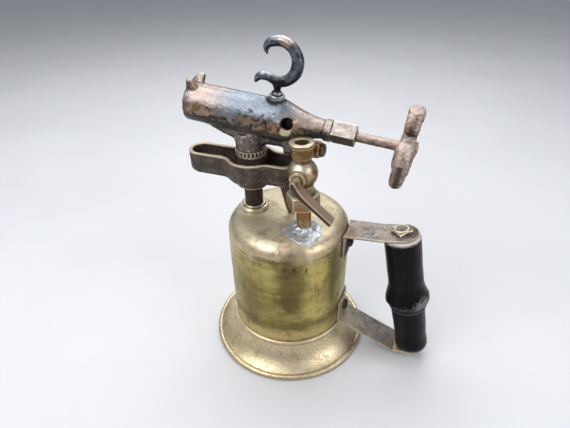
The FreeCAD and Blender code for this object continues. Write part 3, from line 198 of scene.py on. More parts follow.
class NodeBench:
    """Adds and wires the nodes of one material."""

    def __init__(self, tree: bpy.types.NodeTree) -> None:
        """Take the tree, and read the place and the facing of the surface in it.

        Args:
            tree: The material's nodes.
        """
        self.tree = tree
        coords = self.add("TexCoord")
        self.place = self.add("VectorMath", {"operation": "SCALE"},
                              {0: coords.outputs["Object"], "Scale": 1 / MM}).outputs[0]
        self.normal = coords.outputs["Normal"]

    def add(self, kind: str, settings: dict | None = None, inputs: dict | None = None) -> bpy.types.Node:
        """Add a node.

        Args:
            kind: The node's type without its prefix.
            settings: Properties to set.
            inputs: Values or sockets by the input's name or number.

        Returns:
            The new node.
        """
        made = self.tree.nodes.new(f"ShaderNode{kind}")
        for key, value in (settings or {}).items():
            setattr(made, key, value)
        for key, value in (inputs or {}).items():
            if isinstance(value, Socket):
                self.tree.links.new(value, made.inputs[key])
            else:
                made.inputs[key].default_value = value
        return made

    def reckon(self, operation: str, *values: float | Socket) -> Socket:
        """A sum of numbers or sockets."""
        return self.add("Math", {"operation": operation}, dict(enumerate(values))).outputs[0]

    def clouds(self, place: Socket, size: float) -> Socket:
        """Soft mottling with features of about a size."""
        return self.add("TexNoise", None, {"Vector": place, "Scale": 1 / size, "Detail": 5.0,
                                           "Roughness": 0.6}).outputs[0]

    def cover(self, layer: Layer) -> Socket:
        """Where a layer lies, from 0 to 1.

        Args:
            layer: The layer.

        Returns:
            The socket with its cover.
        """
        place, at = self.place, Vector(layer.at)
        if layer.stretch != (1.0, 1.0, 1.0):
            place = self.add("VectorMath", {"operation": "MULTIPLY"},
                             {0: place, 1: layer.stretch}).outputs[0]
            at = at * Vector(layer.stretch)
        if layer.pattern is Pattern.CLOUDS:
            value = self.clouds(place, layer.size)
        elif layer.pattern is Pattern.GRAINS:
            value = self.add("TexVoronoi", None, {"Vector": place, "Scale": 1 / layer.size}).outputs[0]
        elif layer.pattern is Pattern.EDGES:
            value = self.add("Attribute", {"attribute_name": "edge"}).outputs["Fac"]
        elif layer.pattern is Pattern.SPOT:
            value = self.add("VectorMath", {"operation": "DISTANCE"}, {0: place, 1: at}).outputs["Value"]
        else:
            seen = self.normal if layer.pattern is Pattern.FACING else self.place
            value = self.add("VectorMath", {"operation": "DOT_PRODUCT"},
                             {0: seen, 1: layer.at}).outputs["Value"]
        if layer.broken:
            wobble = self.reckon("SUBTRACT", self.clouds(self.place, layer.size), 0.5)
            value = self.reckon("MULTIPLY_ADD", wobble, layer.broken, value)
        return self.add("MapRange", {"interpolation_type": "SMOOTHSTEP"}, {
            "Value": value, "From Min": layer.low, "From Max": layer.high}).outputs[0]

    def blend(self, cover: Socket, under: float | tuple | Socket, over: float | tuple) -> Socket:
        """A number or colour laid over another by a cover.

        Args:
            cover: How much of the upper one shows.
            under: The lower number or colour.
            over: The upper one.

        Returns:
            The socket with the mix.
        """
        if isinstance(over, tuple):
            return self.add("Mix", {"data_type": "RGBA"}, {0: cover, 6: under, 7: over}).outputs[2]
        return self.add("Mix", {"data_type": "FLOAT"}, {0: cover, 2: under, 3: over}).outputs[0]


@dataclass(frozen=True)
class Finish:
    """The look of a surface: its own colour and gloss, and the layers over it."""

    name: str
    colour: Colour
    metallic: float
    roughness: float
    layers: tuple[Layer, ...]
    coat: float = 0.0
    specular: float = 0.5


@lru_cache(maxsize=None)
def material(finish: Finish) -> bpy.types.Material:
    """The node material of a finish, made once.

    Args:
        finish: The finish.

    Returns:
        Its material.
    """
    made = bpy.data.materials.new(finish.name)
    made.use_nodes = True
    made.node_tree.nodes.clear()
    bench = NodeBench(made.node_tree)
    colour: tuple | Socket = linear(finish.colour)
    metallic: float | Socket = finish.metallic
    roughness: float | Socket = finish.roughness
    height: Socket | None = None
    for layer in finish.layers:
        cover = bench.cover(layer)
        if layer.bump:
            term = bench.reckon("MULTIPLY", cover, layer.bump)
            height = term if height is None else bench.reckon("ADD", height, term)
        if not layer.amount:
            continue
        if layer.amount < 1:
            cover = bench.reckon("MULTIPLY", cover, layer.amount)
        colour = bench.blend(cover, colour, linear(layer.colour))
        if layer.metallic is not None:
            metallic = bench.blend(cover, metallic, layer.metallic)
        if layer.roughness is not None:
            roughness = bench.blend(cover, roughness, layer.roughness)
    shader = bench.add("BsdfPrincipled", None, {
        "Base Color": colour, "Metallic": metallic, "Roughness": roughness,
        "Coat Weight": finish.coat, "Coat Roughness": 0.12, "Specular IOR Level": finish.specular})
    if height is not None:
        bump = bench.add("Bump", None, {"Strength": 1.0, "Distance": MM, "Height": height})
        made.node_tree.links.new(bump.outputs[0], shader.inputs["Normal"])
    bench.add("OutputMaterial", None, {"Surface": shader.outputs[0]})
    return made


class Blank:
    """A mesh in millimetres on its way to becoming a piece."""

    def __init__(self, name: str) -> None:
        """Start with an empty mesh."""
        self.name = name
        self.bm = bmesh.new()

    @classmethod
    def cast(cls, node: str, voxel: float, passes: int) -> "Blank":
        """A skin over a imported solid, with its corners rounded as in a casting.

        Args:
            node: The solid's node.
            voxel: How fine the skin is.
            passes: How often it is smoothed.

        Returns:
            The blank.
        """
        blank = cls(node)
        blank.bm.from_mesh(frame["nodes"][node].data)
        bmesh.ops.remove_doubles(blank.bm, verts=blank.bm.verts, dist=1e-6)
        bmesh.ops.scale(blank.bm, vec=(1 / MM,) * 3, verts=blank.bm.verts)
        return blank.fuse(voxel, passes)

    def fuse(self, voxel: float, passes: int) -> "Blank":
        """Turn the mesh into one closed, even skin.

        Args:
            voxel: How fine the skin is.
            passes: How often it is smoothed.

        Returns:
            The blank.
        """
        solid = bpy.data.meshes.new(f"{self.name}_solid")
        self.bm.to_mesh(solid)
        form = bpy.data.objects.new(f"{self.name}_form", solid)
        bpy.context.scene.collection.objects.link(form)
        skin = form.modifiers.new("skin", "REMESH")
        skin.mode = "VOXEL"
        skin.voxel_size = voxel
        seen = form.evaluated_get(bpy.context.evaluated_depsgraph_get())
        mesh = bpy.data.meshes.new_from_object(seen)
        self.bm.clear()
        self.bm.from_mesh(mesh)
        bpy.data.objects.remove(form)
        for spare in (mesh, solid):
            bpy.data.meshes.remove(spare)
        return self.smooth(passes)

    def join(self, other: "Blank") -> "Blank":
        """Add another blank's mesh.

        Args:
            other: The other blank, which is used up.

        Returns:
            The blank.
        """
        spare = bpy.data.meshes.new("joined")
        other.bm.to_mesh(spare)
        other.bm.free()
        self.bm.from_mesh(spare)
        bpy.data.meshes.remove(spare)
        return self

    def sweep(self, sections: list[Matrix], sides: int = 20) -> "Blank":
        """Draw a round bar out from section to section.

        Args:
            sections: A frame for each section, scaled to its width.
            sides: How many sides the bar has.

        Returns:
            The blank.
        """
        bmesh.ops.create_circle(self.bm, cap_ends=True, segments=sides, radius=0.5, matrix=sections[0])
        face = self.bm.faces[:][0]
        for before, after in zip(sections, sections[1:]):
            drawn = bmesh.ops.extrude_face_region(self.bm, geom=[face], use_keep_orig=before is sections[0])
            face = next(g for g in drawn["geom"] if isinstance(g, bmesh.types.BMFace))
            bmesh.ops.transform(self.bm, matrix=after @ before.inverted(), verts=face.verts)
        bmesh.ops.recalc_face_normals(self.bm, faces=self.bm.faces)
        return self

    def smooth(self, passes: int, where: Callable[[Vector], bool] | None = None) -> "Blank":
        """Even out the mesh, or one place on it.

        Args:
            passes: How often.
            where: Which places take part, all of them if it isn't given.

        Returns:
            The blank.
        """
        verts = [v for v in self.bm.verts if where is None or where(v.co)]
        for _ in range(passes):
            bmesh.ops.smooth_vert(self.bm, verts=verts, factor=0.5, use_axis_x=True,
                                  use_axis_y=True, use_axis_z=True)
        return self

    def place(self, spot: Matrix) -> "Blank":
        """Set the mesh into a frame."""
        bmesh.ops.transform(self.bm, matrix=spot, verts=self.bm.verts)
        return self

    def mark_edges(self, passes: int = 2) -> "Blank":
        """Note on each vertex how sharply the surface turns outwards there, per millimetre.

        Args:
            passes: How often the notes are evened out between neighbours.

        Returns:
            The blank.
        """
        bm = self.bm
        bm.normal_update()
        bm.verts.index_update()
        points = np.array([v.co for v in bm.verts])
        normals = np.array([v.normal for v in bm.verts])
        ends = np.array([[v.index for v in e.verts] for e in bm.edges])
        way = points[ends[:, 1]] - points[ends[:, 0]]
        square = np.maximum((way ** 2).sum(1), 1e-9)
        count = np.maximum(np.bincount(ends.ravel(), minlength=len(points)), 1)
        turn = np.zeros(len(points))
        np.add.at(turn, ends[:, 0], -2 * (way * normals[ends[:, 0]]).sum(1) / square)
        np.add.at(turn, ends[:, 1], 2 * (way * normals[ends[:, 1]]).sum(1) / square)
        turn = np.clip(turn / count, -SHARPEST, SHARPEST)
        for _ in range(passes):
            near = np.zeros(len(points))
            np.add.at(near, ends[:, 0], turn[ends[:, 1]])
            np.add.at(near, ends[:, 1], turn[ends[:, 0]])
            turn = (turn + near / count) / 2
        layer = bm.verts.layers.float.new("edge")
        for vertex, value in zip(bm.verts, turn):
            vertex[layer] = value
        return self

    def dent(self, height: float, size: float, seed: float, octaves: int = 3,
             where: Weight | None = None) -> "Blank":
        """Raise and lower the surface unevenly.

        Args:
            height: The most that it moves.
            size: How far apart the dents are.
            seed: Shifts the pattern.
            octaves: How much fine detail it has.
            where: How much of it each place takes.

        Returns:
            The blank.
        """
        self.bm.normal_update()
        shift = Vector((seed, 2 * seed, 3 * seed))
        for vertex in self.bm.verts:
            share = where(vertex.co) if where else 1.0
            if share:
                lift = noise.fractal(vertex.co / size + shift, 1.0, 2.0, octaves)
                vertex.co += vertex.normal * (height * share * lift)
        return self

    def raise_by(self, height: Weight) -> "Blank":
        """Move each place outwards by a height.

        Args:
            height: Gives the height at a place.

        Returns:
            The blank.
        """
        self.bm.normal_update()
        for vertex in self.bm.verts:
            lift = height(vertex.co)
            if lift:
                vertex.co += vertex.normal * lift
        return self

    def piece(self, finish: Finish, crease: float = 180.0) -> None:
        """Turn the mesh into the piece that stands for the blank's node.

        Args:
            finish: Its look.
            crease: Edges sharper than this are drawn sharp, in degrees.
        """
        bmesh.ops.scale(self.bm, vec=(MM,) * 3, verts=self.bm.verts)
        mesh = bpy.data.meshes.new(f"{self.name}_mesh")
        self.bm.to_mesh(mesh)
        self.bm.free()
        mesh.shade_smooth()
        if crease < 180:
            mesh.set_sharp_from_angle(angle=math.radians(crease))
        mesh.materials.append(material(finish))
        made = bpy.data.objects.new(f"{self.name}_worn", mesh)
        bpy.context.scene.collection.objects.link(made)
        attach(made, BODY_OF[self.name])
        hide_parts(self.name)
        LOG.info("%s: %d faces", made.name, len(mesh.polygons))


class Profile:
    """An outline of radius and height, drawn as a chain of edges and spun."""

    def __init__(self, radius: float, height: float) -> None:
        """Start at a point."""
        self.bm = bmesh.new()
        self.first = self.last = self.bm.verts.new((radius, 0, height))

    def line(self, *corners: Pair) -> "Profile":
        """Go straight from corner to corner.

        Args:
            corners: The radius and height of each corner.

        Returns:
            The profile.
        """
        for radius, height in corners:
            self.last = bmesh.ops.extrude_vert_indiv(self.bm, verts=[self.last])["verts"][0]
            self.last.co = (radius, 0, height)
        return self

    def arc(self, radius: float, height: float, bend: float, steps: int) -> "Profile":
        """Go to a point on an arc.

        Args:
            radius: The point's radius.
            height: The point's height.
            bend: The arc's radius, below zero where its centre is on the right.
            steps: How many edges it has.

        Returns:
            The profile.
        """
        start, end = self.last.co.copy(), Vector((radius, 0, height))
        chord = end - start
        left = Vector((-chord.z, 0, chord.x)).normalized()
        off = math.sqrt(max(bend * bend - chord.length_squared / 4, 0.0))
        centre = (start + end) / 2 + left * math.copysign(off, bend)
        angle = 2 * math.asin(min(1.0, chord.length / 2 / abs(bend)))
        axis = (0, -math.copysign(1, bend), 0)
        spun = bmesh.ops.spin(self.bm, geom=[self.last], cent=centre, axis=axis, angle=angle, steps=steps)
        self.last = next(g for g in spun["geom_last"] if isinstance(g, bmesh.types.BMVert))
        return self

    def close(self) -> "Profile":
        """Join the end to the start."""
        self.bm.edges.new((self.last, self.first))
        return self

    def soften(self, radius: float, *corners: Pair) -> "Profile":
        """Round some corners.

        Args:
            radius: How far from the corner the rounding starts.
            corners: The corners.

        Returns:
            The profile.
        """
        for corner in corners:
            spot = Vector((corner[0], 0, corner[1]))
            vertex = min(self.bm.verts, key=lambda v: (v.co - spot).length)
            bmesh.ops.bevel(self.bm, geom=[vertex], offset=radius, offset_type="OFFSET", segments=5,
                            profile=0.5, affect="VERTICES", clamp_overlap=True, material=-1)
        return self

    def turn(self, name: str, spot: Matrix, segments: int, step: float = 0.0) -> Blank:
        """Spin the outline about the upright of a frame.

        Args:
            name: The blank's name.
            spot: The frame.
            segments: How many steps a full turn has.
            step: Edges longer than this are divided, none if it is 0.

        Returns:
            The blank.
        """
        if step:
            for edge in list(self.bm.edges):
                cuts = int(edge.calc_length() / step)
                if cuts:
                    bmesh.ops.subdivide_edges(self.bm, edges=[edge], cuts=cuts)
        bmesh.ops.spin(self.bm, geom=self.bm.verts[:] + self.bm.edges[:], cent=(0, 0, 0), axis=(0, 0, 1),
                       angle=math.tau, steps=segments, use_merge=True)
        bmesh.ops.remove_doubles(self.bm, verts=self.bm.verts, dist=1e-4)
        bmesh.ops.recalc_face_normals(self.bm, faces=self.bm.faces)
        blank = Blank(name)
        blank.bm.free()
        blank.bm = self.bm
        return blank.place(spot)


# Directions that slopes and facings go by.
DOWN: Triple = (0, 0, -1)
TO_MOUTH: Triple = (-0.99556, 0, 0.09411)
TO_REAR: Triple = (0.996, 0, -0.094)
UP_THE_GRIP: Triple = (-0.19766, 0, 0.98027)

# A stretch that counts heights alone, so that a spot becomes a level band.
LEVEL: Triple = (0.0, 0.0, 1.0)

# Where the tank's side has small dark marks.
TANK_MARKS: tuple[Triple, ...] = ((11.9, -44.4, 98.8), (18.4, -42.2, 98.8), (26.4, -37.7, 97.4))

AGED_BRASS = Finish("aged_brass", (174, 160, 98), 0.9, 0.38, (
    mottled((138, 127, 64), 0.75, 34, 0.42, 0.6),
    mottled((196, 172, 112), 0.55, 10, 0.5, 0.64),
    mottled((112, 98, 50), 0.5, 1.6, 0.5, 0.7, (0.03, 0.03, 1.0), bump=-0.03),
    mottled((192, 180, 116), 0.5, 6, 0.5, 0.64, (0.08, 0.08, 1.0)),
    mottled((112, 103, 54), 0.45, 14, 0.54, 0.66, (0.3, 0.3, 1.0)),
    # Painted highlight: a pale-gold upright stripe on the tank's right side.
    spotted((214, 194, 112), 0.55, 9, 24, 6, (1.0, 1.0, 0.35), (36.0, -29.0, 70.0), 12),
    # Painted highlight: a broad pale sheen round the shoulder.
    sloped((228, 206, 182), 0.9, 16, 100, 115, broken=24, roughness=0.44),
    # The flat top: a duller, less metallic tarnish, painted pale as well for the light that it reflects.
    sloped((200, 190, 160), 0.9, 16, 114.2, 116.4, broken=4, metallic=0.5, roughness=0.46),
    mottled((156, 141, 108), 0.5, 16, 0.48, 0.62, (1.0, 1.6, 1.0), roughness=0.5),
    mottled((138, 120, 78), 0.5, 8, 0.54, 0.68, roughness=0.5),
    # Painted highlight: the left of the top is lighter.
    spotted((208, 198, 168), 0.7, 9, 32, 10, (1.0, 1.0, 0.8), (-36.0, -16.0, 114.0), 14),
    # Painted shade: the right of the top is darker.
    spotted((134, 124, 100), 0.55, 8, 20, 6, at=(40.0, 2.0, 115.0), broken=14),
    spotted((84, 63, 27), 0.75, 9, 17, 4, (1.0, 1.0, 0.36), (16.0, -43.1, 82.0), 18),
    spotted((86, 72, 38), 0.6, 7, 13, 3, (1.0, 1.0, 0.3), (42.0, -18.8, 86.0), 12),
    spotted((96, 78, 38), 0.5, 7, 18, 4, (1.0, 1.0, 0.4), (-14.0, -43.5, 62.0), 14),
    spotted((96, 88, 58), 0.6, 9, 7, 1, LEVEL, (0.0, 0.0, 42.0), 12, roughness=0.5),
    spotted((204, 184, 130), 0.7, 8, 8, 1, LEVEL, (0.0, 0.0, 30.0), 12),
    # Painted shade: a thin dark line round the foot of the shoulder, where a crease would be.
    spotted((92, 76, 44), 0.5, 11, 0.9, 0.1, LEVEL, (0.0, 0.0, 105.5), 14.0),
    mottled((96, 82, 44), 0.45, 9, 0.53, 0.68, (1.0, 1.0, 0.5), roughness=0.46),
    *(spotted((66, 50, 24), 0.75, 2, 1.4, 0.2, (1.0, 1.0, 0.34), spot, 2.6, roughness=0.5)
      for spot in TANK_MARKS),
    mottled((66, 56, 34), 0.8, 0.9, 0.66, 0.74, bump=-0.05),
    spotted((46, 38, 28), 0.85, 5, 13, 6, at=(46.0, 0.0, 98.0), broken=8, metallic=0.4, roughness=0.6),
    grained((52, 42, 24), 0.9, 7, 0.09, 0.03, bump=-0.2),
    mottled((100, 86, 48), 0.55, 2.2, 0.6, 0.72, bump=-0.04),
    sloped((92, 84, 48), 0.6, 5, -28.5, -25.5, at=DOWN, broken=4)))

SKIRT_BRASS = Finish("skirt_brass", (210, 195, 160), 0.9, 0.38, (
    mottled((214, 194, 170), 0.7, 20, 0.45, 0.6),
    mottled((164, 152, 110), 0.6, 12, 0.5, 0.64),
    mottled((228, 202, 146), 0.6, 1.5, 0.53, 0.62, roughness=0.34, bump=0.04),
    mottled((130, 116, 84), 0.7, 1.2, 0.45, 0.37, bump=-0.04),
    edged((232, 218, 190), 0.35, 4, 0.14, 0.4, broken=0.3, roughness=0.34),
    edged((112, 100, 66), 0.55, 4, -0.12, -0.4, roughness=0.55),
    sloped((150, 134, 100), 0.5, 6, -4.6, -2.6, at=DOWN, broken=2.5, roughness=0.46)))

BRIGHT_BRASS = Finish("bright_brass", (232, 224, 196), 0.95, 0.3, (
    mottled((150, 136, 98), 0.7, 4, 0.46, 0.62, roughness=0.42, bump=-0.03),
    edged((230, 220, 192), 0.7, 3, 0.15, 0.45),
    edged((82, 66, 40), 0.85, 3, -0.1, -0.4, roughness=0.6)))

VALVE_BRASS = Finish("valve_brass", (154, 132, 98), 0.85, 0.4, (
    mottled((112, 92, 62), 0.8, 7, 0.46, 0.58),
    mottled((150, 100, 56), 0.75, 7, 0.54, 0.64),
    mottled((188, 172, 140), 0.6, 3, 0.52, 0.64, bump=0.03),
    # Painted highlight: faces turned up and forwards are pale.
    faced((226, 214, 196), 0.75, 4, 0.45, 0.9, at=(0, -0.4, 0.92), broken=0.5, roughness=0.38),
    # Painted shade: faces turned down are dark.
    faced((76, 58, 40), 0.9, 4, 0.05, 0.7, at=DOWN, broken=0.5, roughness=0.5),
    spotted((146, 102, 58), 0.65, 5, 15, 8, (1.0, 1.0, 1.3), (16.7, -18.0, 135.0), 18),
    spotted((126, 134, 104), 0.75, 3, 14, 9, (1.0, 1.0, 2.5), (16.3, -15.8, 147.0), 3, 0.3, 0.65, 0.05),
    # Painted highlight: cream along the outward edges.
    edged((216, 200, 166), 0.75, 2, 0.1, 0.3, broken=0.16, roughness=0.34),
    edged((58, 46, 32), 0.85, 2, -0.1, -0.35, broken=0.1, metallic=0.4, roughness=0.65)))

CUP_BRASS = Finish("cup_brass", (132, 106, 70), 0.85, 0.38, (
    mottled((96, 74, 46), 0.8, 5, 0.45, 0.58),
    mottled((146, 98, 52), 0.7, 4, 0.52, 0.62),
    # Painted highlight: faces turned up are pale.
    faced((222, 210, 192), 0.85, 3, 0.6, 0.95, broken=0.3),
    edged((212, 196, 162), 0.7, 2, 0.15, 0.5),
    spotted((74, 72, 48), 0.95, 2, 5.4, 4.2, (1.0, 1.0, 0.2), (15.15, -15.8, 178.0), 1.2, 0.2, 0.8, 0.05)))

LEVER_BRONZE = Finish("lever_bronze", (140, 116, 96), 0.75, 0.42, (
    mottled((110, 88, 72), 0.8, 4, 0.46, 0.6, bump=-0.04),
    # Painted highlight: faces turned up are pale.
    faced((192, 166, 140), 0.75, 3, 0.3, 0.75, broken=0.4, roughness=0.38),
    # Painted shade: the near side of the bar is dark.
    faced((58, 47, 39), 0.85, 3, 0.6, 0.85, at=(0, -1, 0), broken=0.3),
    # Painted shade: faces turned down are dark.
    faced((44, 35, 29), 0.85, 3, 0.2, 0.8, at=(-0.4, 0, -0.9), broken=0.3),
    # Pale along the outward edges: rubbed wear, and a painted edge highlight.
    edged((214, 196, 168), 0.6, 2, 0.3, 0.6, broken=0.3, roughness=0.34)))

SOOTY_BRONZE = Finish("sooty_bronze", (132, 110, 94), 0.78, 0.42, (
    mottled((164, 142, 126), 0.8, 12, 0.44, 0.56),
    mottled((124, 92, 62), 0.9, 4, 0.48, 0.58, (0.5, 1.0, 1.0)),
    mottled((54, 49, 47), 0.8, 5, 0.54, 0.62, (0.45, 1.0, 1.0), roughness=0.5),
    # Painted reflection: faces turned up and forwards are pale.
    faced((184, 166, 160), 0.9, 9, 0.62, 0.9, at=(0, -0.5, 0.86), broken=0.6, roughness=0.36),
    faced((146, 133, 120), 0.85, 6, 0.9, 0.98, broken=0.15, roughness=0.42),
    # Painted reflection: a blue-grey patch over the middle of the barrel.
    spotted((122, 133, 145), 0.9, 7, 24, 11, (0.62, 1.0, 1.0), (-18.0, -9.0, 203.0), 12, 0.85, 0.32),
    edged((206, 190, 166), 0.7, 3, 0.14, 0.34, broken=0.2, roughness=0.36),
    edged((26, 23, 22), 0.9, 3, -0.12, -0.26, metallic=0.1, roughness=0.8),
    spotted((24, 24, 27), 0.9, 5, 11, 6, (0.4, 1.0, 1.0), (-19.0, -13.5, 187.0), 24, 0.5, 0.4),
    faced((18, 17, 18), 0.97, 4, 0.16, 0.3, at=DOWN, broken=1.6, metallic=0.4, roughness=0.4),
    spotted((20, 19, 20), 0.95, 4, 9, 5, (0.35, 1.0, 1.0), (18.0, -8.5, 182.0), 10, 0.4, 0.42),
    sloped((104, 99, 94), 0.85, 4, -187, -181, at=DOWN, broken=10, metallic=0.85, roughness=0.3),
    # Painted glints: pale flecks over the stem.
    spotted((224, 214, 198), 0.8, 1.8, -0.15, -0.5, (0.06, 0.06, 0.06), (-27.9, -9.0, 176.0), 6, 0.8, 0.3),
    # Painted shadow: black round the pad under the hook's collar.
    spotted((20, 19, 19), 0.95, 3, 8.5, 6.0, at=(-7.4, 0.0, 204.2), broken=2, metallic=0.2, roughness=0.6),
    spotted((146, 118, 92), 0.6, 4, 7, -3, (0.22, 1.0, 1.5), (-22.0, -13.3, 191.0), 60, roughness=0.42),
    spotted((156, 124, 94), 0.75, 4, 9, 0, (1.0, 1.0, 1.4), (9.5, -10.5, 191.0), 36),
    spotted((146, 138, 126), 0.6, 5, 15, 5, (0.7, 1.0, 1.8), (20.0, -3.0, 195.0), 10),
    spotted((150, 118, 86), 0.65, 4, 8, -1, (0.5, 1.0, 1.3), (-5.0, -13.0, 189.0), 50),
    # Painted highlight: a pale crescent on the lower lip of the air hole.
    spotted((226, 212, 180), 0.95, 3, 4.4, 2.8, at=(2.2, -11.6, 186.6), broken=1.5, metallic=0.7,
            roughness=0.35),
    sloped((80, 79, 80), 0.8, 4, 83, 89.6, at=TO_MOUTH, broken=14),
    pitted(1.5, 0.14),
    grained((34, 30, 28), 0.5, 3.2, 0.2, 0.05, bump=-0.12)))

PAN_IRON = Finish("pan_iron", (98, 89, 78), 0.5, 0.55, (
    mottled((66, 58, 50), 0.8, 7, 0.44, 0.58),
    mottled((122, 102, 82), 0.6, 5, 0.54, 0.66),
    # Painted shade: faces turned down are darker.
    faced((50, 43, 37), 0.7, 6, 0.0, 0.5, at=DOWN, broken=0.4),
    mottled((58, 51, 45), 0.7, 1.3, 0.5, 0.62),
    faced((42, 37, 33), 0.85, 6, 0.5, 0.9, broken=0.4, metallic=0.2, roughness=0.75),
    edged((42, 36, 31), 0.8, 4, -0.04, -0.14, metallic=0.2, roughness=0.75),
    edged((208, 192, 168), 0.85, 4, 0.12, 0.3, broken=0.2, metallic=0.7, roughness=0.42),
    pitted(1.1, 0.18),
    grained((52, 45, 39), 0.5, 2.2, 0.25, 0.05, bump=-0.16)))

RING_IRON = Finish("ring_iron", (158, 142, 118), 0.6, 0.5, (
    mottled((112, 92, 70), 0.8, 3, 0.45, 0.6, bump=-0.06),
    edged((210, 194, 164), 0.7, 2, 0.1, 0.4),
    edged((28, 24, 21), 0.95, 2, -0.08, -0.3, metallic=0.1, roughness=0.8)))

HOOK_IRON = Finish("hook_iron", (92, 97, 106), 0.85, 0.3, (
    mottled((134, 140, 150), 0.65, 7, 0.48, 0.62, roughness=0.26),
    mottled((44, 46, 50), 0.85, 5, 0.53, 0.63, roughness=0.4),
    # Painted highlight: faces turned up are pale.
    faced((180, 183, 184), 0.6, 5, 0.4, 0.95, broken=0.7, roughness=0.3),
    # Painted highlight: a pale patch on the top of the bow.
    spotted((200, 178, 164), 0.6, 4, 7, 2, at=(0.5, -2.0, 241.0), broken=7),
    spotted((196, 172, 148), 0.7, 3, 5, 2, at=(-21.5, -1.0, 214.0), broken=4),
    # Painted shade: faces turned down are black.
    faced((12, 12, 14), 0.92, 5, -0.05, 0.5, at=DOWN, broken=0.4),
    spotted((16, 16, 18), 0.9, 4, 13, 7, at=(-6.0, 0.0, 209.5), broken=5),
    spotted((178, 182, 184), 0.8, 2, 4.4, 3.4, (1.0, 1.0, 2.5), (-7.1, 0.0, 207.6), 1.0),
    pitted(2.0, 0.08),
    edged((24, 24, 26), 0.8, 3, -0.12, -0.4, roughness=0.6)))

COLLAR_STEEL = Finish("collar_steel", (122, 128, 138), 0.85, 0.32, (
    mottled((64, 66, 70), 0.8, 3, 0.46, 0.6),
    edged((198, 200, 202), 0.7, 2, 0.15, 0.5)))

RUSTY_IRON = Finish("rusty_iron", (152, 129, 119), 0.35, 0.56, (
    mottled((94, 69, 54), 0.85, 5, 0.47, 0.59, bump=-0.05),
    mottled((164, 112, 80), 0.7, 4, 0.53, 0.63),
    mottled((196, 180, 173), 0.7, 3, 0.53, 0.64, metallic=0.6, roughness=0.44),
    # Painted highlight: faces turned up are paler.
    faced((210, 196, 190), 0.6, 4, 0.25, 0.9, broken=0.8, metallic=0.6, roughness=0.44),
    # Painted shade: faces turned down are dark.
    faced((58, 43, 34), 0.9, 5, 0.0, 0.45, at=(0, -0.2, -0.98), broken=0.5),
    # Painted shade: the wheel's lowest lobe is darker.
    spotted((66, 50, 38), 0.88, 4, 17, 12, at=(74.5, -6.0, 159.0), broken=10),
    edged((66, 48, 40), 0.85, 3, -0.04, -0.16, roughness=0.75),
    edged((204, 180, 164), 0.65, 3, 0.1, 0.28, broken=0.2, metallic=0.6, roughness=0.44),
    pitted(1.0, 0.18),
    grained((60, 44, 36), 0.7, 2.0, 0.22, 0.06, bump=-0.2)))

PLUG_IRON = Finish("plug_iron", (58, 46, 40), 0.6, 0.42, (
    mottled((30, 25, 23), 0.8, 3, 0.46, 0.6, bump=-0.06),
    edged((150, 122, 98), 0.6, 2, 0.14, 0.4, broken=0.2)))

PIPE_RUST = Finish("pipe_rust", (62, 49, 41), 0.3, 0.62, (
    mottled((48, 39, 34), 0.85, 5, 0.45, 0.58),
    mottled((106, 72, 48), 0.7, 3, 0.54, 0.66),
    mottled((36, 30, 28), 0.8, 4, 0.56, 0.68, bump=-0.1),
    pitted(0.9, 0.18)))

NUT_STEEL = Finish("nut_steel", (184, 178, 172), 0.8, 0.4, (
    mottled((148, 134, 118), 0.7, 4, 0.46, 0.6, bump=-0.05),
    mottled((128, 100, 78), 0.6, 3, 0.57, 0.68, roughness=0.55),
    # Painted shade: faces turned down are dark.
    faced((40, 32, 26), 0.97, 4, 0.05, 0.3, at=(0, 0.1, -1), broken=0.2, metallic=0.4, roughness=0.55),
    # Painted highlight: pale along the outward edges.
    edged((222, 212, 196), 0.5, 2, 0.16, 0.4, broken=0.2, roughness=0.34),
    # Painted shade: faces turned towards the rear are darker.
    faced((86, 76, 68), 0.8, 3, 0.5, 0.85, at=TO_REAR, broken=0.3)))

STRAP_STEEL = Finish("strap_steel", (146, 139, 130), 0.7, 0.43, (
    mottled((118, 120, 122), 0.8, 10, 0.46, 0.6),
    mottled((134, 102, 78), 0.75, 5, 0.54, 0.63, metallic=0.35, roughness=0.62, bump=0.05),
    mottled((78, 73, 69), 0.75, 7, 0.55, 0.65),
    mottled((186, 174, 152), 0.6, 4, 0.55, 0.65),
    # Painted shade: faces turned down are darker.
    faced((50, 44, 40), 0.85, 6, 0.3, 0.9, at=DOWN, broken=0.4),
    spotted((36, 32, 30), 0.92, 4, 15, 9, at=(47.0, 0.0, 97.0), broken=6, metallic=0.4, roughness=0.6),
    spotted((122, 86, 60), 0.6, 3, 8, 4, (1.0, 0.5, 1.0), (49.0, -8.0, 117.0), 7, 0.3, 0.65),
    spotted((196, 184, 148), 0.6, 5, 20, 6, at=(56.0, -6.0, 34.0), broken=18),
    spotted((176, 158, 112), 0.5, 4, 14, 5, at=(96.0, -6.0, 12.0), broken=12),
    spotted((60, 53, 48), 0.85, 3, 11, 6, (1.0, 1.0, 0.6), (93.0, 0.0, 120.0), 10, 0.5, 0.5),
    edged((206, 188, 160), 0.5, 3, 0.25, 0.55, broken=0.9, roughness=0.36),
    pitted(1.4, 0.1)))

NUT_RUST = Finish("nut_rust", (120, 112, 106), 0.7, 0.42, (
    mottled((92, 74, 60), 0.8, 3, 0.47, 0.6, bump=-0.06),
    mottled((150, 146, 142), 0.6, 2, 0.54, 0.64),
    edged((226, 210, 182), 0.85, 2, 0.12, 0.32, broken=0.2, roughness=0.34),
    edged((44, 36, 30), 0.8, 2, -0.1, -0.3, roughness=0.6)))

RIVET_IRON = Finish("rivet_iron", (44, 39, 37), 0.6, 0.48, (
    mottled((84, 64, 52), 0.7, 2, 0.5, 0.62, bump=0.06),
    edged((120, 110, 102), 0.4, 2, 0.2, 0.6)))

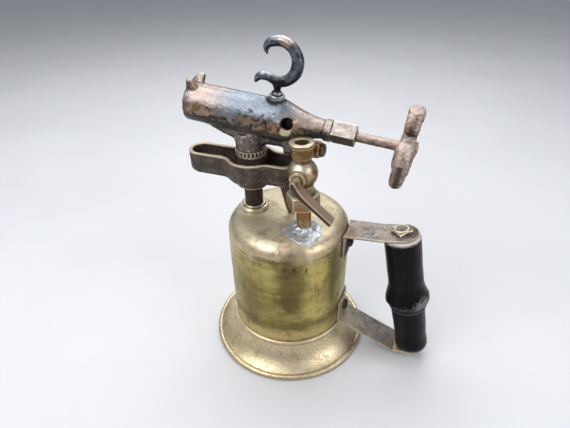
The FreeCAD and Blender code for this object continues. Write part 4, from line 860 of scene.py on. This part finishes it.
BLACK_WOOD = Finish("black_wood", (4, 5, 9), 0.0, 0.3, (
    mottled((20, 20, 23), 0.6, 10, 0.52, 0.66, (1.0, 1.0, 0.25), roughness=0.4),
    edged((104, 101, 100), 0.5, 3, 0.1, 0.2, broken=0.5, roughness=0.5),
    mottled((62, 58, 56), 0.5, 3, 0.64, 0.74, (1.0, 1.0, 0.2), roughness=0.5),
    spotted((140, 139, 140), 0.6, 2.4, 13, 3, (1.0, 1.0, 1.8), (108.5, -9.0, 64.0), 26, roughness=0.5),
    sloped((206, 199, 188), 0.9, 4, 94.9, 96.6, at=UP_THE_GRIP, broken=2.2, roughness=0.6),
    grained((214, 208, 198), 0.9, 14, 0.06, 0.035, roughness=0.6, bump=-0.25),
    mottled(amount=0, size=1.2, low=0.35, high=0.7, stretch=(1.0, 1.0, 0.15), bump=0.05)), 0.08, 0.08)

SOLDER_TIN = Finish("solder_tin", (196, 202, 206), 0.7, 0.38, (
    mottled((228, 232, 232), 0.7, 3, 0.5, 0.62, roughness=0.3, bump=0.08),
    mottled((122, 132, 142), 0.6, 4, 0.54, 0.64, bump=-0.08),
    mottled((140, 136, 122), 0.4, 6, 0.55, 0.66, roughness=0.5)))

CLEANOUT_BRASS = Finish("cleanout_brass", (176, 138, 94), 0.85, 0.4, (
    mottled((124, 88, 56), 0.7, 3, 0.48, 0.62),
    edged((208, 174, 128), 0.6, 2, 0.14, 0.45)))

PACKING_FIBRE = Finish("packing_fibre", (92, 82, 68), 0.0, 0.9, (
    mottled((60, 52, 44), 0.7, 1.0, 0.45, 0.6, bump=0.1),))

WICK_COTTON = Finish("wick_cotton", (206, 194, 168), 0.0, 0.95, (
    mottled((170, 152, 120), 0.8, 0.8, 0.42, 0.6, (1.0, 1.0, 0.3), bump=0.15),))

PALE_FLOOR = Finish("pale_floor", (208, 209, 212), 0.0, 0.6, (
    mottled((202, 203, 207), 0.5, 200, 0.4, 0.6),))


def dress_solid(node: str, finish: Finish) -> None:
    """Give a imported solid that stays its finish.

    Args:
        node: The solid's node.
        finish: Its look.
    """
    slots = frame["nodes"][node].data.materials
    slots.clear()
    slots.append(material(finish))
    LOG.info("%s: solid kept", node)


@dataclass
class Tank:
    """The drawn tank, its bottom, the spun base and the solder on its top."""

    radius: float = 46.0
    wall: float = 1.0
    seam: float = 23.5
    top: float = TANK_TOP
    shoulder: float = 10.5
    seat: float = 46.05
    bead: float = 46.6
    bead_span: Pair = (22.9, 26.0)
    bead_bend: float = 1.6
    flare: float = 27.0
    flare_foot: Pair = (60.2, 3.912)
    rim: Pair = (63.5, 2.007)
    rim_bend: float = 2.2
    rim_foot: Pair = (60.4, 62.2)
    rim_inside: Pair = (59.175, 2.576)
    lip: float = 44.0
    lip_edge: Pair = (45.2, 22.3)
    tube: float = TUBE_RADIUS
    puddle: float = 13.5
    puddle_run: float = 5.0
    puddle_back: float = 2.5
    puddle_ragged: Pair = (2.6, 1.1)
    puddle_thick: float = 0.5
    puddle_edge: Pair = (-0.3, 1.6)
    puddle_sunk: float = 0.25
    mound: float = 3.2
    mound_run: float = 2.6
    lump: float = 4.0

    def build(self) -> None:
        """Make the pieces."""
        self.shell()
        self.skirt()
        self.solder()
        dress_solid("tank_bottom", AGED_BRASS)

    def shell(self) -> None:
        """The drawn shell, a little dented by use."""
        inner = self.radius - self.wall
        outline = Profile(0, self.top).line((self.radius - self.shoulder, self.top))
        outline.arc(self.radius, self.top - self.shoulder, -self.shoulder, 16)
        outline.line((self.radius, self.seam), (inner, self.seam), (inner, self.top - self.shoulder))
        outline.arc(inner - self.shoulder + self.wall, self.top - self.wall, self.shoulder - self.wall, 12)
        outline.line((0, self.top - self.wall))
        blank = outline.turn("tank_shell", Matrix(), 192, 3.0)
        blank.dent(0.32, 34, 1.0, 2).dent(0.06, 9, 4.0, 2)
        blank.mark_edges().piece(AGED_BRASS, crease=50)

    def skirt(self) -> None:
        """The spun base with its bead and rolled rim."""
        low, high = self.bead_span
        inside, outside = self.rim_foot
        outline = Profile(self.seat, high).line((self.bead, high)).arc(self.bead, low, -self.bead_bend, 10)
        outline.arc(*self.flare_foot, self.flare, 20).arc(*self.rim, -self.rim_bend, 8)
        outline.arc(outside, 0.0, -self.rim_bend, 6).line((inside, 0.0))
        outline.arc(*self.rim_inside, -self.rim_bend, 6).arc(*self.lip_edge, -self.flare - self.wall, 20)
        outline.line((self.lip, self.lip_edge[1]), (self.lip, self.seam), (self.seat, self.seam))
        blank = outline.close().turn("base_skirt", Matrix(), 224)
        blank.dent(0.25, 26, 2.0, 2, lambda spot: ease(spot.z, 1, 8))
        blank.mark_edges(1).piece(SKIRT_BRASS, crease=50)

    def height(self, x: float, y: float) -> float:
        """How high the tank's top stands over a place.

        Args:
            x: The place along the torch.
            y: The place across it.

        Returns:
            The height.
        """
        out = math.hypot(x, y) - (self.radius - self.shoulder)
        if out <= 0:
            return self.top
        return self.top - self.shoulder + math.sqrt(max(self.shoulder ** 2 - out ** 2, 0.0))

    def puddle_reach(self, side: Vector) -> float:
        """How far the solder ran out to one side, more to the front and with a ragged edge.

        Args:
            side: The direction from the tube, of length 1.

        Returns:
            The distance from the middle of the tube.
        """
        coarse, fine = self.puddle_ragged
        reach = self.puddle + self.puddle_run * max(0.0, -side.y) - self.puddle_back * max(0.0, side.y)
        reach += coarse * noise.fractal(side * 1.7 + Vector((5, 1, 3)), 1.0, 2.0, 3)
        reach += fine * noise.noise(side * 6)
        return reach

    def solder(self) -> None:
        """The lumpy solder round the filler tube, run out over the top."""
        blank = Blank("solder_fillet")
        middle = Vector((*COCK, 0))
        bmesh.ops.create_grid(blank.bm, x_segments=96, y_segments=96, size=22)
        bmesh.ops.translate(blank.bm, vec=middle, verts=blank.bm.verts)
        spare = []
        for vertex in blank.bm.verts:
            way = vertex.co - middle
            away = way.length
            reach = self.puddle_reach(way.normalized() if away else Vector((1, 0, 0)))
            if away > reach + 0.6 or away < self.tube - 0.5:
                spare.append(vertex)
            lumps = 0.5 * noise.fractal(vertex.co / self.lump, 1.0, 2.0, 3)
            climb = math.exp(-((max(away - self.tube, 0) / self.mound_run) ** 1.4))
            mound = self.mound * climb * (1 + lumps)
            thick = self.puddle_thick * ease(reach - away, *self.puddle_edge) * (1 + lumps) + mound
            vertex.co.z = self.height(vertex.co.x, vertex.co.y) - self.puddle_sunk + thick
        bmesh.ops.delete(blank.bm, geom=spare, context="VERTS")
        bmesh.ops.recalc_face_normals(blank.bm, faces=blank.bm.faces)
        if sum(face.normal.z for face in blank.bm.faces) < 0:
            bmesh.ops.reverse_faces(blank.bm, faces=blank.bm.faces)
        bmesh.ops.solidify(blank.bm, geom=blank.bm.faces[:], thickness=0.4)
        blank.mark_edges().piece(SOLDER_TIN, crease=60)


@dataclass
class Standpipe:
    """The pipe from the tank to the burner, the collar below and the drip pan on it."""

    spot: Matrix = field(default_factory=lambda: Matrix.Translation((STANDPIPE_X, 0, 0)))
    pipe: float = 6.85
    bore: float = 4.6
    fit: float = 6.9
    foot: float = 109.0
    top: float = 176.0
    shank: float = 9.0
    flange: float = 10.9
    flange_span: Pair = (TANK_TOP, 120.0)
    neck: float = 8.6
    neck_top: float = 121.5

    def build(self) -> None:
        """Make the pieces."""
        low, high = self.flange_span
        collar = Profile(self.fit, self.foot).line(
            (self.shank, self.foot), (self.shank, low), (self.flange, low), (self.flange, high),
            (self.neck, high), (self.neck, self.neck_top), (self.fit, self.neck_top)).close()
        collar.soften(1.2, (self.flange, high))
        collar.soften(0.5, (self.neck, self.neck_top), (self.neck, high), (self.flange, low))
        collar.turn("burner_collar", self.spot, 96).mark_edges(1).piece(BRIGHT_BRASS, crease=60)
        pipe = Profile(self.bore, self.foot).line((self.pipe, self.foot), (self.pipe, self.top),
                                                  (self.bore, self.top)).close()
        pipe = pipe.turn("standpipe", self.spot, 72, 0.8).mark_edges()
        pipe.dent(0.16, 2.4, 1.0, 4).piece(PIPE_RUST, crease=60)
        pan = Blank.cast("drip_pan", 0.55, 3).mark_edges(3)
        pan.dent(0.25, 9, 2.0, 3).dent(0.09, 1.8, 5.0, 2).piece(PAN_IRON)
        Blank.cast("pan_lock_ring", 0.28, 2).mark_edges().dent(0.1, 2, 1.0).piece(RING_IRON)
        dress_solid("pickup_tube", VALVE_BRASS)
        dress_solid("wick", WICK_COTTON)


@dataclass
class Burner:
    """The burner casting, the hook on it and the clean-out plug."""

    spot: Matrix = field(default_factory=burner_frame)
    mouth: float = -43.8
    barrel: float = 13.3
    horn_rise: float = 6.6
    horn_angle: float = 25.0
    horn_reach: float = 9.0
    horn_taper: Pair = (1.25, 0.6)
    far_horn_back: float = 7.5
    near_horn_lean: float = 0.28
    horn_zone: Triple = (-9.0, 11.0, 0.7)
    ridge: float = 0.35
    ridge_run: Pair = (-34.0, 11.0)
    ridge_side: Pair = (0.3, 1.1)
    ridge_top: float = -11.0
    hole: Triple = (2.76, 0.0, 188.8)
    hole_way: Pair = (0.974, 0.225)
    hole_depth: float = 6.0
    hole_rim: Triple = (3.0, 5.2, 8.5)
    hole_pinch: float = 0.9
    stem_run: Pair = (-62.0, 2.0)
    stem_rise: Pair = (170.0, 190.0)
    stem_side: float = 5.0
    stem_out: float = 12.5
    saddle_run: Pair = (-5.0, 20.0)
    saddle_top: float = 193.5
    saddle_fall: Pair = (4.0, 0.35)
    saddle_spine: float = 2.0
    pits: float = 0.8
    pits_rise: Pair = (180.0, 186.0)
    pits_run: Pair = (-10.0, 0.0)
    bush_run: float = 1.5
    bush_end: Pair = (2.5, 1.5)
    hook_spot: Matrix = field(default_factory=lambda: on_y(BURNER_TILT, (-8.8, 0, 189.89)))
    hook_path: tuple[Triple, ...] = (
        (-7.9, 41.0, 0.8), (-8.7, 42.8, 2.8), (-8.9, 44.7, 4.1), (-8.0, 46.7, 5.2), (-5.4, 48.6, 6.3),
        (-0.5, 49.9, 6.9), (3.4, 49.6, 6.9), (7.2, 47.7, 7.0), (10.1, 44.7, 7.4), (12.0, 40.6, 7.9),
        (12.1, 35.4, 8.0), (9.8, 30.3, 7.7), (6.1, 27.0, 7.3), (1.0, 25.3, 6.7), (-3.2, 25.9, 5.7),
        (-6.2, 26.9, 5.5), (-8.8, 27.4, 5.8), (-11.2, 27.2, 5.7), (-13.2, 26.0, 5.0), (-14.6, 24.2, 3.8),
        (-15.5, 22.2, 1.6))
    shank: float = 2.4
    shank_span: Pair = (11.8, 26.0)
    shank_flange: tuple[Pair, ...] = ((3.7, 16.8), (3.7, 18.6))
    shank_neck: tuple[Pair, ...] = ((2.2, 19.2), (2.2, 20.4), (3.4, 23.2))
    collar: Pair = (2.45, 5.3)
    collar_span: Pair = (14.4, 16.8)

    def build(self) -> None:
        """Make the pieces."""
        body = Blank.cast("burner_body", 0.5, 1)
        for vertex in body.bm.verts:
            vertex.co = self.pinched(self.spot @ self.tapered(self.spot.inverted() @ vertex.co))
        body.smooth(12, self.on_horns).smooth(30, lambda spot: spot.y < 0 and self.on_horns(spot))
        body.smooth(70, self.under_barrel).smooth(60, self.on_saddle)
        body.mark_edges(2).raise_by(self.parting_line).dent(0.28, 10, 3.0, 3).dent(0.07, 1.8, 7.0, 2)
        body.dent(0.4, 2.6, 9.0, 3, self.rough_stem).piece(SOOTY_BRONZE)
        self.hook()
        bush = Blank.cast("cleanout_bush", 0.28, 1)
        end = max(vertex.co.x for vertex in bush.bm.verts)
        first, last = (end - off for off in self.bush_end)
        for vertex in bush.bm.verts:
            vertex.co.x += self.bush_run * ease(vertex.co.x, first, last)
        bush.mark_edges().dent(0.08, 3, 1.0).piece(CLEANOUT_BRASS)
        Blank.cast("cleanout_plug", 0.28, 2).mark_edges().dent(0.12, 3, 2.0).piece(PLUG_IRON)
        dress_solid("gas_jet", BRIGHT_BRASS)

    def hook(self) -> None:
        """The bent hook with its tongue, on a turned shank, and the collar under it."""
        foot, tip = self.shank_span
        shank = Profile(0, foot).line((self.shank, foot), (self.shank, self.shank_flange[0][1]))
        shank.line(*self.shank_flange, *self.shank_neck, (0, tip)).soften(0.6, *self.shank_flange)
        bar = Blank("soldering_hook").sweep(bar_sections(self.hook_path, self.hook_spot))
        bar.join(shank.turn("shank", self.hook_spot, 48)).fuse(0.36, 4)
        bar.mark_edges().dent(0.2, 6, 2.0, 2).piece(HOOK_IRON)
        inner, outer = self.collar
        low, high = self.collar_span
        collar = Profile(inner, low).line((outer, low), (outer, high), (inner, high)).close()
        collar = collar.soften(0.8, (outer, high)).turn("hook_lock_collar", self.hook_spot, 64, 0.8)
        collar.mark_edges(1).piece(COLLAR_STEEL, crease=60)

    def tapered(self, local: Vector) -> Vector:
        """Draw the horns over the mouth in towards their tips, the far one to the rear.

        Args:
            local: A place in the burner's own frame.

        Returns:
            Where it goes.
        """
        out = math.hypot(local.x, local.y)
        if out < self.barrel or local.z > self.mouth + self.horn_reach or local.x > 0:
            return local
        share = min((out - self.barrel) / self.horn_rise, 1.0)
        root, loss = self.horn_taper
        width = root - loss * share
        middle = math.radians(math.copysign(self.horn_angle, local.y))
        turn = math.atan2(local.y, -local.x)
        turn = middle + (turn - middle) * width
        far = local.y > 0
        foot = self.mouth + self.far_horn_back if far else self.mouth
        back = foot + (local.z - foot) * width
        lean = 1.0 if far else 1 - self.near_horn_lean * share
        return Vector((-out * math.cos(turn), out * math.sin(turn) * lean, back))

    def pinched(self, place: Vector) -> Vector:
        """Draw the rims of the air holes in a little, as a casting's are.

        Args:
            place: A place on the casting.

        Returns:
            Where it goes.
        """
        across, up = self.hole_way
        inside, edge, outside = self.hole_rim
        ahead = Vector((0, math.copysign(across, place.y), up))
        off = place - Vector(self.hole)
        along = off.dot(ahead)
        off -= along * ahead
        if along < self.hole_depth or off.length > outside or off.length < inside:
            return place
        return place - off.normalized() * self.hole_pinch * (1 - ease(off.length, edge, outside))

    def on_horns(self, place: Vector) -> bool:
        """Whether a place is on the horns or round their roots.

        Args:
            place: A place on the casting.

        Returns:
            Whether it is.
        """
        local = self.spot.inverted() @ place
        top, reach, root = self.horn_zone
        out = math.hypot(local.x, local.y)
        return local.x < top and local.z < self.mouth + reach and out > self.barrel - root

    def under_barrel(self, place: Vector) -> bool:
        """Whether a place is where the stem and the passages run into the barrel.

        Args:
            place: A place on the casting.

        Returns:
            Whether it is.
        """
        local = self.spot.inverted() @ place
        low, high = self.stem_rise
        front, rear = self.stem_run
        near = low < place.z < high and front < place.x < rear
        return near and local.x > self.stem_side and math.hypot(local.x, local.y) > self.stem_out

    def on_saddle(self, place: Vector) -> bool:
        """Whether a place is where the hook's pad runs down into the neck.

        Args:
            place: A place on the casting.

        Returns:
            Whether it is.
        """
        front, rear = self.saddle_run
        start, slope = self.saddle_fall
        floor = self.saddle_top - slope * max(0.0, place.x - start)
        return front < place.x < rear and place.z > floor and abs(place.y) > self.saddle_spine

    def rough_stem(self, place: Vector) -> float:
        """How rough the casting is: pitted round the stem."""
        return self.pits * (1 - ease(place.z, *self.pits_rise)) * (1 - ease(place.x, *self.pits_run))

    def parting_line(self, place: Vector) -> float:
        """The low ridge that the mould left along the top of the barrel.

        Args:
            place: A place on the casting.

        Returns:
            The height of the ridge there.
        """
        local = self.spot.inverted() @ place
        low, high = self.ridge_run
        if local.x > self.ridge_top or not low < local.z < high:
            return 0.0
        return self.ridge * (1 - ease(abs(local.y), *self.ridge_side))


@dataclass
class NeedleValve:
    """The needle's rod, its packing nut and the cast handwheel."""

    spot: Matrix = field(default_factory=burner_frame)
    needle: tuple[Pair, ...] = ((0.45, 43.1), (2.2, 47.7), (2.2, 50.5))
    rod: float = 3.2
    rod_end: float = 102.0
    tang: Pair = (2.6, 113.4)
    rust_start: Pair = (75.0, 77.0)
    rust_end: Pair = (99.0, 101.0)
    hub: Triple = (77.63, 0.0, 181.725)
    lean: float = 2.0
    swell: float = 0.3
    flat: float = 2.6
    flat_rise: float = 0.3
    lobe: Triple = (-1.0, -17.0, 2.0)
    lobe_swell: float = 1.3
    lobe_reach: Pair = (4.0, 12.0)

    def build(self) -> None:
        """Make the pieces."""
        self.spindle()
        Blank.cast("packing_nut", 0.32, 2).mark_edges().dent(0.14, 5, 1.0, 3).piece(NUT_STEEL)
        self.wheel()
        Blank.cast("wheel_nut", 0.26, 2).mark_edges().dent(0.1, 3, 1.0).piece(RUSTY_IRON)
        dress_solid("packing_ring", PACKING_FIBRE)

    def spindle(self) -> None:
        """The needle with its rod and the tang that the wheel sits on."""
        start, end = self.needle[0][1], self.needle[-1][1]
        tang, tip = self.tang
        rod = Profile(0, start).line(*self.needle, (self.rod, end), (self.rod, self.rod_end),
                                     (tang, self.rod_end), self.tang, (0, tip)).soften(0.6, self.tang)
        rod = rod.turn("needle_spindle", self.spot, 48, 0.7).mark_edges()
        rod.dent(0.12, 1.6, 2.0, 3, self.bare).piece(RUSTY_IRON, crease=50)

    def wheel(self) -> None:
        """The lumpy wheel, with its upper lobe flattened, a little askew on the rod."""
        wheel = Blank.cast("handwheel", 0.45, 14)
        limit = max(vertex.co.z for vertex in wheel.bm.verts) - self.flat
        for vertex in wheel.bm.verts:
            vertex.co.z = min(vertex.co.z, limit + self.flat_rise * (vertex.co.z - limit))
        wheel.mark_edges(3).raise_by(lambda spot: self.swell)
        hub = Matrix.Translation(self.hub)
        wheel.place(hub @ Matrix.Rotation(math.radians(self.lean), 4, "Y") @ hub.inverted())
        wheel.dent(1.0, 7, 2.0, 3).dent(0.24, 2.4, 5.0, 2).raise_by(self.near_lobe).piece(RUSTY_IRON)

    def near_lobe(self, place: Vector) -> float:
        """How much the lobe towards the side of the cock stands out over the others."""
        away = (place - Vector(self.hub) - Vector(self.lobe)).length
        return self.lobe_swell * (1 - ease(away, *self.lobe_reach))

    def bare(self, place: Vector) -> float:
        """The rod's rusted stretch, between the nut and the wheel."""
        along = (self.spot.inverted() @ place).z
        return ease(along, *self.rust_start) * (1 - ease(along, *self.rust_end))


@dataclass
class FillerCock:
    """The filler tube, the cock on it with its cup, and the lever."""

    spot: Matrix = field(default_factory=lambda: on_y(-2.0, (*COCK, TANK_TOP)))
    tube: Pair = (3.4, TUBE_RADIUS)
    tube_span: Pair = (-8.0, 21.5)
    cup_bore: float = 2.6
    spigot: tuple[Pair, ...] = ((4.5, 50.5), (4.5, 53.5), (5.0, 53.5))
    cup: float = 7.4
    cup_span: Pair = (56.5, 63.7)
    rim: Pair = (8.6, 66.7)
    well: Pair = (4.6, 58.7)
    pivot: Matrix = field(default_factory=lambda: Matrix.Translation((15.747, -32.0, 161.473)))
    plug_end: float = -33.0
    lever_width: float = 8.6
    lever_path: tuple[Triple, ...] = (
        (-1.2, 2.6, 2.6), (-0.5, 0.9, 4.0), (0.8, -1.9, 4.3), (2.7, -4.7, 4.2), (5.7, -7.7, 3.6),
        (10.0, -11.2, 3.2), (17.0, -16.9, 3.0), (25.4, -23.7, 3.0))

    def build(self) -> None:
        """Make the pieces."""
        bore, outer = self.tube
        low, high = self.tube_span
        tube = Profile(bore, low).line((outer, low), (outer, high), (bore, high)).close()
        tube = tube.turn("filler_tube", self.spot, 64, 1.0).mark_edges()
        tube.dent(0.06, 3, 1.0).piece(VALVE_BRASS, crease=50)
        Blank.cast("filler_valve_body", 0.36, 2).mark_edges().dent(0.1, 5, 3.0, 2).piece(VALVE_BRASS)
        self.turned_cup()
        lever = Blank("valve_lever").sweep(bar_sections(self.lever_path, self.pivot, self.lever_width), 4)
        lever.fuse(0.34, 5).mark_edges(2).dent(0.12, 4, 2.0, 2).piece(LEVER_BRONZE)
        for node in ("valve_plug", "plug_washer", "plug_screw"):
            turned = Blank.cast(node, 0.24, 1)
            for vertex in turned.bm.verts:
                vertex.co.y = max(vertex.co.y, self.plug_end)
            turned.mark_edges().piece(VALVE_BRASS)

    def turned_cup(self) -> None:
        """The open cup with its thick rim and the well in it."""
        low, high = self.cup_span
        rim, top = self.rim
        well, floor = self.well
        cup = Profile(self.cup_bore, self.spigot[0][1]).line(
            *self.spigot, (self.cup, low), (self.cup, high), (rim, high), self.rim, (well, top),
            self.well, (self.cup_bore, floor)).close()
        cup.soften(0.9, self.rim, (rim, high)).soften(0.8, (well, top), (self.cup, low))
        cup = cup.soften(0.5, (self.cup, high)).turn("filler_cup", self.spot, 80, 0.8).mark_edges()
        cup.dent(0.08, 4, 2.0, 2).piece(CUP_BRASS, crease=60)


@dataclass
class Handle:
    """The turned wooden grip on its two steel straps."""

    spot: Matrix = field(default_factory=lambda: on_y(-11.4, (84.2, 0, 116.3)))
    bore: float = 3.4
    length: float = 106.5
    top_edge: tuple[Pair, ...] = ((11.4, 0.0), (13.0, -1.6))
    hold: Pair = (12.8, -30.0)
    waist: Pair = (13.0, -42.0)
    bulge_root: Pair = (13.8, -46.6)
    bulge: tuple[Pair, ...] = ((16.3, -54.5), (16.3, -57.4))
    groove: tuple[Pair, ...] = ((14.3, -60.2), (14.0, -61.0))
    bead: tuple[Pair, ...] = ((14.3, -62.6), (13.0, -64.6))
    taper_end: Pair = (12.0, -94.5)
    heel: tuple[Pair, ...] = ((12.7, -99.9), (12.7, -104.5))
    heel_end: float = 10.8
    knocks: float = 0.15
    knock_reach: Pair = (0.5, 4.0)
    bulge_middle: float = -56.0
    strap: float = 1.6
    hammer_reach: Pair = (7.0, 13.0)
    hammer_depth: Pair = (-2.0, 1.0)
    nut_swell: float = 0.3
    nut_squash: Triple = (0.9, 0.9, 0.68)
    bolt: float = 3.2
    bolt_span: Pair = (-108.1, 4.3)
    bolt_head: tuple[Pair, ...] = ((3.5, -110.5), (7.0, -108.1))
    bolt_peen: tuple[Pair, ...] = ((5.4, 4.7), (5.1, 5.4))
    bolt_tip: float = 5.1

    def build(self) -> None:
        """Make the pieces."""
        self.grip()
        for label in ("upper", "lower"):
            strap = Blank.cast(f"{label}_strap", 0.42, 2).mark_edges().dent(0.22, 7, 3.0, 3)
            strap.dent(0.5, 3.6, 8.0, 2, self.hammered).piece(STRAP_STEEL)
            Blank.cast(f"{label}_rivet", 0.3, 2).mark_edges().dent(0.16, 3, 1.0).piece(RIVET_IRON)
        nut = Blank.cast("handle_nut", 0.3, 9).mark_edges().raise_by(lambda spot: self.nut_swell)
        lift = self.spot @ Matrix.Translation((0, 0, self.strap))
        nut.place(lift @ Matrix.Diagonal((*self.nut_squash, 1)) @ lift.inverted())
        nut.dent(0.35, 3.2, 4.0, 3).piece(NUT_RUST)
        low, high = self.bolt_span
        bolt = Profile(0, self.bolt_head[0][1]).line(*self.bolt_head, (self.bolt, low), (self.bolt, high),
                                                     *self.bolt_peen, (0, self.bolt_tip))
        bolt.soften(0.3, *self.bolt_peen).soften(0.8, self.bolt_head[0])
        bolt = bolt.turn("handle_bolt", self.spot, 48, 1.0).mark_edges()
        bolt.dent(0.16, 3, 2.0).piece(NUT_RUST, crease=60)

    def grip(self) -> None:
        """The grip, turned with a bulge and a bead and knocked by use."""
        grip = Profile(self.bore, 0).line(
            *self.top_edge, self.hold, self.waist, self.bulge_root, *self.bulge, *self.groove, *self.bead,
            self.taper_end, *self.heel, (self.heel_end, -self.length), (self.bore, -self.length)).close()
        grip.soften(4, self.bulge_root).soften(1.2, *self.bulge).soften(0.5, *self.bead)
        grip.soften(0.7, *self.top_edge, self.heel[-1]).soften(8, self.taper_end, self.waist)
        grip = grip.turn("grip", self.spot, 96, 1.6).mark_edges().dent(0.2, 14, 2.0, 2)
        grip.dent(0.3, 4, 6.0, 2, self.battered).piece(BLACK_WOOD, crease=60)

    def battered(self, place: Vector) -> float:
        """How knocked the grip is, most at its ends and round its bulge.

        Args:
            place: A place on the grip.

        Returns:
            Its share of the knocks.
        """
        along = (self.spot.inverted() @ place).z
        worst = (0, self.bulge_middle, -self.length)
        return self.knocks + sum(1 - ease(abs(along - spot), *self.knock_reach) for spot in worst)

    def hammered(self, place: Vector) -> float:
        """How hammered a strap is, most round the nut on its upper end.

        Args:
            place: A place on the strap.

        Returns:
            Its share of the hammering.
        """
        local = self.spot.inverted() @ place
        near = 1 - ease(math.hypot(local.x, local.y), *self.hammer_reach)
        return near * ease(local.z, *self.hammer_depth)


@dataclass(frozen=True)
class Lamp:
    """A soft square lamp: its place and width in metres, and its power in watts."""

    name: str
    place: Triple
    width: float
    power: float


@dataclass
class Studio:
    """A plain pale floor, soft light and the camera at the picture's angle, in metres."""

    eye: Triple = (0.0930, -0.2568, 0.2988)
    ahead: Triple = (-0.2907, 0.7776, -0.5574)
    roll: float = -0.893
    focal_pixels: float = 435.0
    picture_pixels: int = 570
    sensor_mm: float = 36.0
    nearest: float = 0.01
    floor_reach: float = 3.0
    sky: Triple = (0.80, 0.83, 0.88)
    sky_strength: float = 0.38
    lit_point: Triple = (0.0, 0.0, 0.13)
    lamps: tuple[Lamp, ...] = (
        Lamp("overhead", (-0.15, 0.35, 0.95), 0.9, 9.0), Lamp("front", (-0.4, -0.65, 0.95), 0.7, 7.5),
        Lamp("side", (1.0, -0.25, 0.6), 0.7, 5.0))

    def build(self) -> None:
        """Set up the floor, the lamps, the world and the camera."""
        self.lay_floor()
        self.light()
        self.camera()
        bpy.context.scene.view_settings.view_transform = "Standard"

    def lay_floor(self) -> None:
        """A pale floor under the torch."""
        bm = bmesh.new()
        bmesh.ops.create_grid(bm, x_segments=1, y_segments=1, size=self.floor_reach)
        mesh = bpy.data.meshes.new("floor")
        bm.to_mesh(mesh)
        bm.free()
        mesh.materials.append(material(PALE_FLOOR))
        floor = bpy.data.objects.new("floor", mesh)
        bpy.context.scene.collection.objects.link(floor)

    def light(self) -> None:
        """A soft world and three large lamps: overhead behind, in front and at the side."""
        world = bpy.data.worlds.new("studio")
        world.use_nodes = True
        sky = world.node_tree.nodes["Background"].inputs
        sky["Color"].default_value = (*self.sky, 1)
        sky["Strength"].default_value = self.sky_strength
        bpy.context.scene.world = world
        for lamp in self.lamps:
            light = bpy.data.lights.new(lamp.name, "AREA")
            light.size = lamp.width
            light.energy = lamp.power
            made = bpy.data.objects.new(lamp.name, light)
            made.location = lamp.place
            aim = Vector(self.lit_point) - made.location
            made.rotation_euler = aim.to_track_quat("-Z", "Y").to_euler()
            bpy.context.scene.collection.objects.link(made)

    def camera(self) -> None:
        """The camera, with the picture's place, turn and lens."""
        data = bpy.data.cameras.new("camera")
        data.sensor_width = self.sensor_mm
        data.lens = self.focal_pixels * data.sensor_width / self.picture_pixels
        data.clip_start = self.nearest
        ahead = Vector(self.ahead).normalized()
        right = ahead.cross(Vector((0, 0, 1))).normalized()
        up = right.cross(ahead)
        turn = math.radians(self.roll)
        right, up = (right * math.cos(turn) + up * math.sin(turn),
                     up * math.cos(turn) - right * math.sin(turn))
        made = bpy.data.objects.new("camera", data)
        made.matrix_world = Matrix((right, up, -ahead)).transposed().to_4x4()
        made.location = self.eye
        bpy.context.scene.collection.objects.link(made)
        bpy.context.scene.camera = made


def main() -> None:
    """Build the torch and the studio."""
    logging.basicConfig(level=logging.INFO, format="%(name)s: %(message)s")
    for part in (Tank(), Standpipe(), Burner(), NeedleValve(), FillerCock(), Handle(), Studio()):
        part.build()
        LOG.info("%s done", type(part).__name__)


if __name__ == "__main__":
    main()
